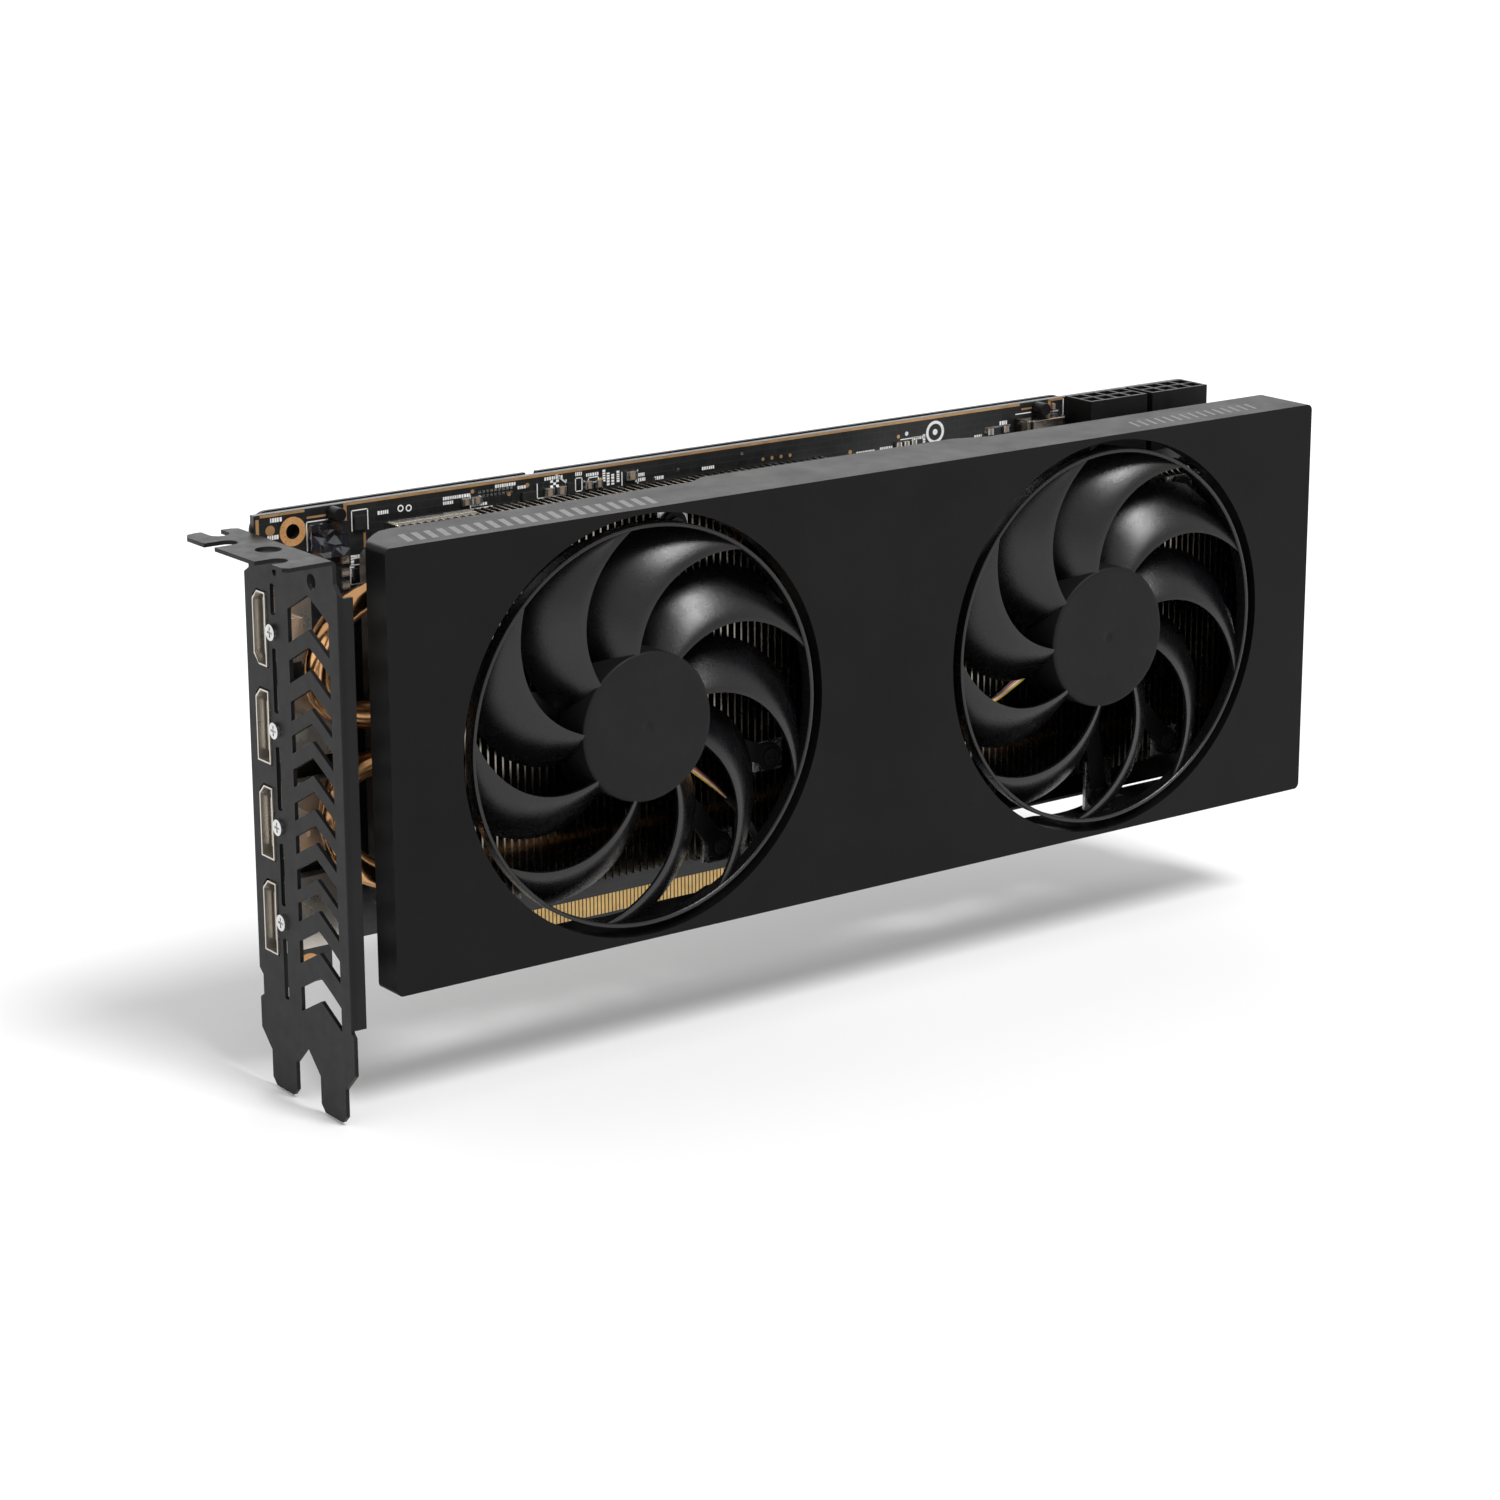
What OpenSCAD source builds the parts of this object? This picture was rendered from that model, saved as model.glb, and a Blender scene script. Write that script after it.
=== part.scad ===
// Dual-slot graphics card with two axial fans, built as an assembly.
// Frame: x = 0 is the outer face of the slot bracket, y = 0 the middle of the
// circuit board, z = 0 the bottom of the edge contacts. Fans face -Y, +Z is up.

/* [Shroud] */
// Length of the shroud
shroud_l = 255.4; // [255:0.1:256]
// Height of the shroud
shroud_h = 94.7; // [94.2:0.1:95]
// Wall thickness of the shroud
shroud_t = 1.8; // [1.4:0.1:2]
// Corner radius of the shroud outline
shroud_r = 1.4; // [0.8:0.1:2]

/* [Fans] */
// Radius of each round opening in the shroud
opening_r = 46.2; // [45.8:0.1:46.4]
// Outer radius of the ring around the blades
ring_r = 44; // [43.5:0.1:44.4]
// Radius of the fan hub
hub_r = 16.5; // [16:0.1:17]
// Number of blades on each fan
blade_n = 9; // [7:1:11]
// Angle each blade sweeps from its rear edge to its front edge
blade_twist = 28; // [20:1:30]
// Phase of the left fan against the right fan
left_phase = -4.7; // [-20:0.1:20]

/* [Heatsink] */
// Distance from one fin to the next
fin_pitch = 1.83; // [1.6:0.01:2.2]
// Thickness of one fin
fin_t = 0.4; // [0.3:0.05:0.5]
// Radius of the round heat pipes
pipe_r = 3; // [2.5:0.1:3]

/* [Board] */
// Thickness of the circuit board
pcb_t = 1.57; // [1.4:0.01:1.6]
// Radius of the mounting holes at the bracket end
pcb_hole_r = 1.6; // [1.5:0.05:1.7]

/* [Bracket] */
// Sheet thickness of the bracket
bracket_t = 0.86; // [0.8:0.02:0.9]
// Radius of the round hole in the top plate
plate_hole_r = 2.75; // [2.5:0.05:2.9]

/* [Output] */
// Part to show

/* [Hidden] */
$fn = 64;

eps = 0.01;
fit = 0.03;

// Shroud box
sx0 = 10.8;
sx1 = sx0 + shroud_l;
sz0 = 7;
sz1 = sz0 + shroud_h;
sy_front = -36.2;
sy_panel = -20;
sy_tab = -17.2;
sy_side = -28.6;
sy_inner = sy_front + shroud_t;
tab_x0 = 224;
tab_rear = -14.6;
lip_t = 1;
lip_depth = 2.6;
boss_r = 3;

// Fans
fan_z = 54.3;
fan_x_left = 74.3;
fan_x_right = 203.6;
hub_front = -36.05;
hub_rear = -26.4;
hub_wall = 1.2;
hub_face_t = 1.5;
ring_t = 0.9;
ring_front = -36.3;
ring_rear = -33;
blade_front = -35.7;
blade_rear = -27.1;
blade_half_t = 0.85;
blade_lead = 101.6;
blade_sweep = 27;
blade_curl = 16;
magnet_t = 1.6;
magnet_rear = -27.5;
shaft_r = 1.5;
shaft_front = -34.5;
shaft_rear = -26.9;
sleeve_r = 3;
sleeve_front = -33.2;
sleeve_rear = -26.4;
boss_in_r = 3.2;
frame_front = -25.9;
frame_rear = -25;
disc_rear = -24;
disc_r = 17.5;
tower_r = 4.4;
stator_r = 13.1;
stator_front = -33;
stator_rear = -27.6;
arm_w = 4.4;
lug_orbit = 42.5;
lug_r = 3.2;
arms_left = [-52.5, -21.5, 70, 163];
arms_right = [-79.5, -48.5, 43, 136];

// Heatsink
fins_front = -24;
fins_rear = -6.4;
fin_bottom = 18;
fin_top_left = 99.6;
fin_top_right = 86;
fins_x0 = 28.7;
fins_x1 = 143;
fins_x2 = 160;
fins_x3 = 258;
pipe_far_y = -17.5;
pipe_near_y = fins_rear - pipe_r;
pipe_bend_x = 22;
pipe_high = 88;
pipe_high_in = 60;
pipe_low_in = 49.5;
pipe_low = 27;
pipe_a = 66.8;
pipe_b = 42.7;
pipe_near_end = 104;
pipe_near_start = 44;
plate_front = fins_rear;
plate_rear = -3.6;

// Board
pcb_front = -pcb_t / 2;
pcb_rear = pcb_t / 2;
pcb_x0 = 0.96;
pcb_x1 = 262;
pcb_top = 103.5;
corner_x = 256.8;
corner_z = 94.4;
pcb_bottom = 8.25;
tongue_x = 15.9;
tongue_z = 0.6;
edge_x0 = 45.3;
key_x0 = 57.15;
key_x1 = 59.05;
edge_x1 = 130.9;
edge_chamfer = 1;
hook_x0 = 133.6;
hook_x1 = 139;
contact_pitch = 1;
contact_w = 0.7;
contact_t = 0.05;
stiff_x0 = 158;
stiff_x1 = 261;
stiff_y0 = -14.2;
stiff_z = 9;
stiff_t = 0.8;
hole_x = 10;
hole_high = 99.1;
hole_low = 4.1;
chip_x = 75;
chip_z = 54.5;

// Bracket, measured from the middle of the board
by_rear = 2.4;
by_front = -36.34;
bz_top = 100.36;
bz_bottom = -19.66;
tab_w = 10.19;
tab_inset = 4.115;
slot_pitch = 20.32;
port_z = [80.8, 59.9, 39.05, 18.25];
port_screw_y = -8.7;
chevron_z = [91.4, 80.6, 71.8, 64.6, 57.4, 50.2, 43, 35.8, 28.6, 20.3, 10.1];
chevron_h = [7.2, 4.9, 4.1, 3.8, 3.8, 3.8, 3.8, 4.4, 4.1, 4.9, 5.2];

// Backplate
bp_front = 1.9;
bp_rear = 2.9;
bp_x0 = 1.7;
bp_x1 = 258;
bp_step_x = 222;
bp_step_z = 86;
bp_top = 103.6;
bp_bottom = 10;

// ---------- helpers ----------

module slab(x0, x1, y0, y1, z0, z1) {
    translate([x0, y0, z0]) cube([x1 - x0, y1 - y0, z1 - z0]);
}

// 2-D outline in (x, z), from y0 to y1
module plate_y(y0, y1) {
    translate([0, y1, 0]) rotate([90, 0, 0]) linear_extrude(y1 - y0) children();
}

// 2-D outline in (y, z), from x0 to x1
module plate_x(x0, x1) {
    translate([x0, 0, 0]) rotate([90, 0, 90]) linear_extrude(x1 - x0) children();
}

module plate_z(z0, z1) {
    translate([0, 0, z0]) linear_extrude(z1 - z0) children();
}

module rod_x(y, z, r, x0, x1) {
    translate([x0, y, z]) rotate([0, 90, 0]) cylinder(h = x1 - x0, r = r);
}

module rod_y(x, z, r, y0, y1) {
    translate([x, y1, z]) rotate([90, 0, 0]) cylinder(h = y1 - y0, r = r);
}

module rod_z(x, y, r, z0, z1) {
    translate([x, y, z0]) cylinder(h = z1 - z0, r = r);
}

module tube_y(x, z, r_out, r_in, y0, y1) {
    difference() {
        rod_y(x, z, r_out, y0, y1);
        rod_y(x, z, r_in, y0 - 1, y1 + 1);
    }
}

module box_2d(x0, x1, z0, z1) {
    translate([x0, z0]) square([x1 - x0, z1 - z0]);
}

module round_box_2d(x0, x1, z0, z1, r) {
    box_2d(x0 + r, x1 - r, z0, z1);
    box_2d(x0, x1, z0 + r, z1 - r);
    for (x = [x0 + r, x1 - r])
        for (z = [z0 + r, z1 - r])
            translate([x, z]) circle(r);
}

// Screw with a cross recess, standing on its head, shank along +Z
module screw(head_r, head_h, shank_r, shank_l) {
    recess_w = head_r * 0.28;
    difference() {
        cylinder(h = head_h, r = head_r);
        for (a = [0, 90])
            rotate([0, 0, a])
                translate([-head_r * 0.62, -recess_w / 2, -1])
                    cube([head_r * 1.24, recess_w, 1 + head_h * 0.45]);
    }
    translate([0, 0, head_h]) cylinder(h = shank_l, r = shank_r);
}

// The same screw with its head at y, driven along +Y or -Y
module screw_y(x, z, y, dir, head_r, head_h, shank_r, shank_l) {
    translate([x, y, z]) rotate([-90 * dir, 0, 0]) screw(head_r, head_h, shank_r, shank_l);
}

// ---------- shroud ----------

module panel_rear_cut() {
    polygon([
        [sx0 - 1, sy_side], [sx0 + 0.1, sy_side], [13, -26.2], [15.8, -23.4], [18.4, -21.2],
        [21.4, -20.4], [97.6, -20], [102.4, sy_tab], [172, sy_tab], [180, sy_panel],
        [sx1 - 1.4, sy_panel], [sx1 - 0.5, sy_panel - 0.5], [sx1, sy_panel - 1.6],
        [sx1 + 1, sy_panel - 1.6], [sx1 + 1, 0], [sx0 - 1, 0]]);
}

post_spots = [[151.5, 16.5], [151.5, 93], [254.5, 14], [259.2, 91]];
shroud_boss_y = -29;

module shroud() {
    color([0.07, 0.07, 0.075]) {
        difference() {
            plate_y(sy_front, -16) round_box_2d(sx0, sx1, sz0, sz1, shroud_r);
            plate_y(sy_inner, -15)
                round_box_2d(sx0 + shroud_t, sx1 - shroud_t, sz0 + shroud_t, sz1 - shroud_t, 0.6);
            for (x = [fan_x_left, fan_x_right]) rod_y(x, fan_z, opening_r, sy_front - 1, -15);
            plate_z(sz0 - 1, sz1 + 1) panel_rear_cut();
        }
        slab(tab_x0, sx1 - 1.4, sy_panel - 0.5, tab_rear, sz0, sz0 + shroud_t);
        for (x = [fan_x_left, fan_x_right])
            tube_y(x, fan_z, opening_r + lip_t, opening_r, sy_inner, sy_inner + lip_depth);
        for (p = post_spots)
            difference() {
                rod_y(p[0], p[1], boss_r, sy_inner, shroud_boss_y);
                rod_y(p[0], p[1], 1.1, sy_inner + 1, shroud_boss_y + 1);
            }
    }
}

// Steel posts that carry the shroud from the board side
module shroud_posts() {
    color([0.6, 0.6, 0.6])
        for (p = post_spots)
            difference() {
                rod_y(p[0], p[1], 2.6, shroud_boss_y, pcb_front);
                rod_y(p[0], p[1], 1.3, shroud_boss_y - 1, -24);
                rod_y(p[0], p[1], 1.3, -5, pcb_front + 1);
            }
}

module shroud_screws() {
    color([0.2, 0.2, 0.2])
        for (p = post_spots)
            screw_y(p[0], p[1], pcb_rear + 0.7, -1, 2.3, 0.7, 1.2, 5);
}

// ---------- fans ----------

blade_steps = 8;

function blade_angle(s) = blade_lead - blade_sweep * s - blade_curl * pow(s, 2.5);
function blade_point(s, side) =
    let (r = hub_r - 0.4 + (ring_r - ring_t + 0.2 - hub_r + 0.4) * s)
    let (a = blade_angle(s) + blade_twist + side * blade_half_t / r * 180 / PI)
    [r * cos(a), r * sin(a)];

module blade_2d() {
    polygon(concat(
        [for (i = [0:blade_steps]) blade_point(i / blade_steps, 1)],
        [for (i = [blade_steps:-1:0]) blade_point(i / blade_steps, -1)]));
}

module impeller(x, phase) {
    difference() {
        rod_y(x, fan_z, hub_r, hub_front, hub_rear);
        rod_y(x, fan_z, hub_r - hub_wall, hub_front + hub_face_t, hub_rear + 1);
        rod_y(x, fan_z, 1.1, hub_front - 1, hub_front + 0.25);
    }
    difference() {
        rod_y(x, fan_z, boss_in_r, hub_front + hub_face_t, sleeve_front - 0.5);
        rod_y(x, fan_z, shaft_r + fit / 2, shaft_front, sleeve_front + 1);
    }
    tube_y(x, fan_z, ring_r, ring_r - ring_t, ring_front, ring_rear);
    translate([x, blade_rear, fan_z]) rotate([90, 0, 0])
        for (k = [0:blade_n - 1])
            rotate([0, 0, phase + k * 360 / blade_n])
                linear_extrude(blade_rear - blade_front, twist = blade_twist,
                    slices = blade_steps, segments = 2 * blade_steps + 2)
                    blade_2d();
}

module impeller_left() {
    color([0.09, 0.09, 0.1]) impeller(fan_x_left, left_phase);
}

module impeller_right() {
    color([0.09, 0.09, 0.1]) impeller(fan_x_right, 0);
}

module magnet(x) {
    r = hub_r - hub_wall - 0.02;
    color([0.25, 0.24, 0.23]) tube_y(x, fan_z, r, r - magnet_t, hub_front + hub_face_t, magnet_rear);
}

module fan_shaft(x) {
    color([0.75, 0.75, 0.76]) rod_y(x, fan_z, shaft_r, shaft_front, shaft_rear);
}

module bearing(x) {
    color([0.7, 0.5, 0.25])
        tube_y(x, fan_z, sleeve_r, shaft_r + fit, sleeve_front, sleeve_rear);
}

module fan_frame(x, arms) {
    color([0.08, 0.08, 0.085])
        difference() {
            union() {
                rod_y(x, fan_z, disc_r, frame_front, disc_rear);
                rod_y(x, fan_z, tower_r, stator_front, frame_front);
                translate([x, frame_rear, fan_z]) rotate([90, 0, 0])
                    linear_extrude(frame_rear - frame_front)
                        for (a = arms) rotate(a) arm_2d();
            }
            rod_y(x, fan_z, sleeve_r + 0.02, stator_front - 1, sleeve_rear);
            for (p = lug_points(x, arms)) rod_y(p[0], p[1], 1.15, frame_front - 1, frame_rear + 1);
        }
}

module arm_2d() {
    translate([disc_r - 1, -arm_w / 2]) square([lug_orbit - disc_r + 1, arm_w]);
    translate([lug_orbit, 0]) circle(lug_r);
}

module stator(x) {
    tooth_n = 4;
    color([0.55, 0.3, 0.12]) {
        difference() {
            union() {
                rod_y(x, fan_z, 7, stator_front, stator_rear);
                translate([x, stator_rear, fan_z]) rotate([90, 0, 0])
                    for (k = [0:tooth_n - 1])
                        rotate([0, 0, k * 360 / tooth_n])
                            intersection() {
                                cylinder(h = stator_rear - stator_front, r = stator_r);
                                union() {
                                    translate([5, -2.5, 0])
                                        cube([8, 5, stator_rear - stator_front]);
                                    translate([11.2, -7, 0])
                                        cube([3, 14, stator_rear - stator_front]);
                                }
                            }
            }
            rod_y(x, fan_z, tower_r + 0.02, stator_front - 1, stator_rear + 1);
        }
        tube_y(x, fan_z, 9, tower_r + 0.02, stator_rear, frame_front);
    }
}

function lug_points(x, arms) =
    [for (a = arms) [x + lug_orbit * cos(a), fan_z + lug_orbit * sin(a)]];
lug_spots = concat(lug_points(fan_x_left, arms_left), lug_points(fan_x_right, arms_right));

module fan_screws() {
    color([0.2, 0.2, 0.2])
        for (p = lug_spots)
            screw_y(p[0], p[1], frame_front - 0.6, 1, 1.9, 0.6, 1.1, 1.6);
}

module fan_tabs() {
    color([0.62, 0.6, 0.56])
        for (p = lug_spots)
            difference() {
                slab(p[0] - 4, p[0] + 4, frame_rear, fins_front, p[1] - 3.4,
                    max(p[1] + 3.4, fin_bottom + 3));
                rod_y(p[0], p[1], 1.12, frame_rear - 1, fins_front + 1);
            }
}

// ---------- leads ----------

function unit(v) = v / norm(v);
function rounded(p) = concat([p[0]],
    [for (i = [0:len(p) - 2]) for (t = [0.25, 0.75]) p[i] * (1 - t) + p[i + 1] * t],
    [p[len(p) - 1]]);
function heading(p, i) = unit(p[min(i + 1, len(p) - 1)] - p[max(i - 1, 0)]);
function ring_points(p, i, r, ref, n) =
    let (d = heading(p, i), side = unit(cross(d, ref)), up = cross(side, d))
    [for (k = [0:n - 1]) p[i] + r * (cos(k * 360 / n) * side + sin(k * 360 / n) * up)];

// Round lead swept along its route
module cord(route, r, ref) {
    n = 8;
    p = rounded(rounded(route));
    last = len(p) - 1;
    polyhedron(
        points = [for (i = [0:last]) each ring_points(p, i, r, ref, n)],
        faces = concat(
            [[for (k = [0:n - 1]) k]],
            [[for (k = [n - 1:-1:0]) last * n + k]],
            [for (i = [0:last - 1]) for (k = [0:n - 1]) let (m = (k + 1) % n)
                [i * n + k, (i + 1) * n + k, (i + 1) * n + m, i * n + m]]),
        convexity = 6);
}

lead_r = 0.9;
lead_y = fins_front - lead_r - 0.05;
plug_left = [113.5, 12.6];
plug_right = [151.5, 34];
plug_front = -9.2;

module fan_leads() {
    color([0.15, 0.15, 0.16]) {
        cord([[88.9, lead_y, 43.2], [103, lead_y, 31.5], [110.2, lead_y, 22],
            [112.4, lead_y, 15], [plug_left[0], -19, plug_left[1]],
            [plug_left[0], plug_front, plug_left[1]]], lead_r, [0.87, 0, 0.5]);
        cord([[187.4, lead_y, 45.4], [178, lead_y, 40.2], [163, lead_y, 36.4],
            [156.4, lead_y, 35.6], [plug_right[0], -19, plug_right[1]],
            [plug_right[0], plug_front, plug_right[1]]], lead_r, [0, 0, 1]);
    }
}

module fan_plugs() {
    color([0.85, 0.84, 0.8])
        for (p = [plug_left, plug_right])
            slab(p[0] - 4.4, p[0] + 4.4, plug_front, -4.6, p[1] - 2, p[1] + 2);
}

module fan_headers() {
    color([0.82, 0.8, 0.74])
        for (p = [plug_left, plug_right])
            slab(p[0] - 5, p[0] + 5, -4.6, pcb_front, p[1] - 2.4, p[1] + 2.4);
}

// ---------- heatsink ----------

module fin_2d(z_top) {
    difference() {
        box_2d(fins_front, fins_rear, fin_bottom, z_top);
        for (z = [pipe_high, pipe_low]) translate([pipe_far_y, z]) circle(pipe_r + 0.03);
        for (z = [pipe_high_in, pipe_low_in, pipe_a, pipe_b]) {
            translate([pipe_near_y, z]) circle(pipe_r + 0.03);
            box_2d(pipe_near_y, fins_rear + 1, z - pipe_r - 0.03, z + pipe_r + 0.03);
        }
    }
}

module fin_stack(x0, x1, z_top) {
    n = floor((x1 - x0 - fin_t) / fin_pitch);
    for (i = [0:n])
        plate_x(x0 + i * fin_pitch, x0 + i * fin_pitch + fin_t) fin_2d(z_top);
}

module fins_left() {
    color([0.72, 0.7, 0.66]) fin_stack(fins_x0, fins_x1, fin_top_left);
}

module fins_right() {
    color([0.72, 0.7, 0.66]) fin_stack(fins_x2, fins_x3, fin_top_right);
}

// Far leg along the fins, a half-turn at the bracket end, near leg on the cold plate
bend_inset = 0.4;

module looped_pipe(z_far, z_near, far_end) {
    dy = pipe_near_y - pipe_far_y;
    dz = z_near - z_far;
    bend = sqrt(dy * dy + dz * dz) / 2;
    rod_x(pipe_far_y, z_far, pipe_r, pipe_bend_x - bend_inset, far_end);
    rod_x(pipe_near_y, z_near, pipe_r, pipe_bend_x - bend_inset, pipe_near_end);
    translate([pipe_bend_x, (pipe_near_y + pipe_far_y) / 2, (z_far + z_near) / 2])
        rotate([atan2(dz, dy), 0, 0])
            rotate([0, 0, 90])
                rotate_extrude(angle = 180) translate([bend, 0]) circle(pipe_r - 0.1);
}

module heat_pipes() {
    color([0.78, 0.46, 0.3]) {
        looped_pipe(pipe_high, pipe_high_in, fins_x1);
        looped_pipe(pipe_low, pipe_low_in, fins_x3);
        for (z = [pipe_a, pipe_b]) rod_x(pipe_near_y, z, pipe_r, pipe_near_start, fins_x3);
    }
}

cold_x0 = 46;
cold_x1 = 104;
cold_z0 = 30;
cold_z1 = 79;

module cold_plate() {
    color([0.8, 0.48, 0.32]) {
        slab(cold_x0, cold_x1, plate_front, plate_rear, cold_z0, cold_z1);
        slab(chip_x - 17, chip_x + 17, plate_rear, die_front, chip_z - 17, chip_z + 17);
    }
}

module base_plate() {
    color([0.62, 0.6, 0.56])
        difference() {
            union() {
                plate_y(plate_front, plate_rear) round_box_2d(24, 136, 16, 94, 2);
                for (p = clamp_spots) rod_y(p[0], p[1], 2.6, plate_rear - 1, pcb_front);
            }
            slab(cold_x0, cold_x1, plate_front - 1, plate_rear + 1, cold_z0, cold_z1);
            for (p = clamp_spots) rod_y(p[0], p[1], 1.45, -5, pcb_front + 1);
        }
}

module vrm_plate() {
    color([0.62, 0.6, 0.56])
        plate_y(plate_front, plate_rear) round_box_2d(161, 200, 16, 85, 1.5);
}

// ---------- board ----------

module pcb_2d() {
    difference() {
        union() {
            box_2d(pcb_x0, corner_x, pcb_bottom, pcb_top);
            box_2d(pcb_x0, pcb_x1, pcb_bottom, corner_z);
            box_2d(pcb_x0, tongue_x, tongue_z, pcb_bottom + 1);
            polygon([[edge_x0, pcb_bottom + 1], [edge_x0, edge_chamfer],
                [edge_x0 + edge_chamfer, 0], [edge_x1 - edge_chamfer, 0],
                [edge_x1, edge_chamfer], [edge_x1, pcb_bottom + 1]]);
            polygon([[hook_x0, pcb_bottom + 1], [hook_x0, 2.4], [hook_x1 - 2, 2.4],
                [hook_x1, 4.4], [hook_x1, pcb_bottom + 1]]);
        }
        box_2d(key_x0, key_x1, -1, 7.6);
        translate([(key_x0 + key_x1) / 2, 7.6]) circle((key_x1 - key_x0) / 2);
        for (z = [hole_high, hole_low]) translate([hole_x, z]) circle(pcb_hole_r);
        for (p = clamp_spots) translate(p) circle(1.6);
        for (p = post_spots) translate(p) circle(1.4);
    }
}

module circuit_board() {
    color([0.05, 0.05, 0.055]) plate_y(pcb_front, pcb_rear) pcb_2d();
}

// Steel angle along the lower edge of the board
module stiffener() {
    color([0.06, 0.06, 0.06]) {
        slab(stiff_x0, stiff_x1, stiff_y0, pcb_front, stiff_z, stiff_z + stiff_t);
        slab(stiff_x0, stiff_x1, pcb_front - stiff_t, pcb_front, stiff_z, stiff_z + 2.2);
    }
}

module contact_row(y0, y1) {
    for (i = [0:10]) contact(edge_x0 + 0.75 + i * contact_pitch, y0, y1);
    for (i = [0:70]) contact(key_x1 + 0.75 + i * contact_pitch, y0, y1);
}

module contact(x, y0, y1) {
    slab(x - contact_w / 2, x + contact_w / 2, y0, y1, 1.2, 5.6);
}

module edge_contacts() {
    color([0.85, 0.65, 0.25]) {
        contact_row(pcb_front - contact_t, pcb_front);
        contact_row(pcb_rear, pcb_rear + contact_t);
    }
}

module hole_rings() {
    color([0.8, 0.55, 0.35])
        for (z = [hole_high, hole_low])
            tube_y(hole_x, z, 3.1, pcb_hole_r, pcb_front - contact_t, pcb_front);
}

package_t = 1.2;
package_front = pcb_front - package_t;
die_front = package_front - 0.8;
die_half = 8.2;

module processor_package() {
    color([0.1, 0.25, 0.16])
        slab(chip_x - 20, chip_x + 20, package_front, pcb_front, chip_z - 20, chip_z + 20);
}

module processor_die() {
    color([0.3, 0.32, 0.36])
        slab(chip_x - die_half, chip_x + die_half, die_front, package_front,
            chip_z - die_half, chip_z + die_half);
}

memory_spots = [[47, 36], [47, 52], [47, 68], [64, 83.5], [86, 83.5], [103, 68], [103, 52], [103, 36]];
mem_x = 5.2;
mem_z = 6.4;

module memory_chips() {
    color([0.08, 0.08, 0.09])
        for (p = memory_spots)
            slab(p[0] - mem_x, p[0] + mem_x, package_front, pcb_front, p[1] - mem_z, p[1] + mem_z);
}

stage_x = 176;
stage_z = [20, 30, 40, 50, 60, 70, 80];

module power_stages() {
    color([0.1, 0.1, 0.11])
        for (z = stage_z)
            slab(stage_x - 2.6, stage_x + 2.6, package_front, pcb_front, z - 2.6, z + 2.6);
}

module thermal_pads() {
    color([0.6, 0.62, 0.66]) {
        for (p = memory_spots)
            slab(p[0] - mem_x + 0.6, p[0] + mem_x - 0.6, plate_rear, package_front,
                p[1] - mem_z + 0.6, p[1] + mem_z - 0.6);
        slab(stage_x - 3.2, stage_x + 3.2, plate_rear, package_front, 16.6, 83.4);
    }
}

choke_x = 206.5;
coil_x = 204;
coil_z = 90;

module chokes() {
    color([0.3, 0.3, 0.31])
        for (z = stage_z)
            slab(choke_x - 4, choke_x + 4, -5.4, pcb_front, z - 4, z + 4);
}

module input_choke() {
    color([0.4, 0.38, 0.33])
        difference() {
            slab(coil_x, coil_x + 12, -6.6, pcb_front, coil_z, coil_z + 10.2);
            for (x = [coil_x - 1, coil_x + 11])
                slab(x, x + 2, -7.6, -5.6, coil_z - 1, coil_z + 11.2);
        }
}

can_spots = [[148, 82], [148, 72], [148, 62], [220, 24], [220, 34], [220, 44], [220, 54],
    [220, 64], [220, 74]];

module can_capacitors() {
    color([0.75, 0.75, 0.77])
        for (p = can_spots) {
            slab(p[0] - 3.6, p[0] + 3.6, pcb_front - 0.8, pcb_front, p[1] - 3.6, p[1] + 3.6);
            rod_y(p[0], p[1], 3.3, -5.3, pcb_front - 0.8);
        }
}

// Rows of small ceramic capacitors: [first x, first z, step x, step z, count, size x, size z]
ceramic_rows = [
    [21, 90.8, 0, -2.7, 4, 1.8, 1.5], [20.6, 78, 0, -3, 3, 1.4, 0.9],
    [19.2, 46, 0, -2.6, 5, 1.3, 0.8], [51, 99.2, 2.7, 0, 2, 2.1, 1.5],
    [72, 98.5, 3.1, 0, 2, 2.3, 1.7], [82.6, 98.8, 2.6, 0, 2, 1.7, 1.6],
    [93.4, 99.3, 3.4, 0, 1, 2.7, 1.9], [168.4, 97.6, 2.2, 0, 3, 1.4, 1.1],
    [195.6, 97.2, 4.8, 0, 2, 1.6, 1.4], [213, 101, 2.2, 0, 2, 0.9, 1.4]];

module ceramic_capacitors() {
    color([0.62, 0.52, 0.42])
        for (r = ceramic_rows)
            for (i = [0:r[4] - 1])
                translate([r[0] + i * r[2], pcb_front - 0.8, r[1] + i * r[3]])
                    cube([r[5], 0.8, r[6]]);
}

chip_spots = [[25.8, 99, 2.6, 3], [24.8, 88, 2, 2.6], [67.7, 99.2, 3.4, 1.9], [78.6, 99.6, 1.8, 2.4],
    [133, 97.4, 3, 2], [21.5, 26, 3, 3], [21, 12, 2, 2.6], [188, 88, 5, 5]];

module control_chips() {
    color([0.09, 0.09, 0.1])
        for (c = chip_spots)
            slab(c[0] - c[2] / 2, c[0] + c[2] / 2, pcb_front - 0.9, pcb_front,
                c[1] - c[3] / 2, c[1] + c[3] / 2);
}

module film_cover() {
    color([0.12, 0.12, 0.14])
        slab(13.4, 22.4, pcb_front - 2, pcb_front, 92.8, 100.2);
}

module edge_posts() {
    color([0.05, 0.05, 0.05])
        for (p = [[19.4, 101.9], [210.8, 101.9]])
            rod_y(p[0], p[1], 1.5, -4.4, pcb_front);
}

// ---------- sockets ----------

hdmi_depth = 10.6;
dp_depth = 18.6;
port_out = -0.35;
port_half = 7.9;
port_y0 = -6.35;
port_y1 = -1;
port_wall = 0.4;
port_bevel = 2;

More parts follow.
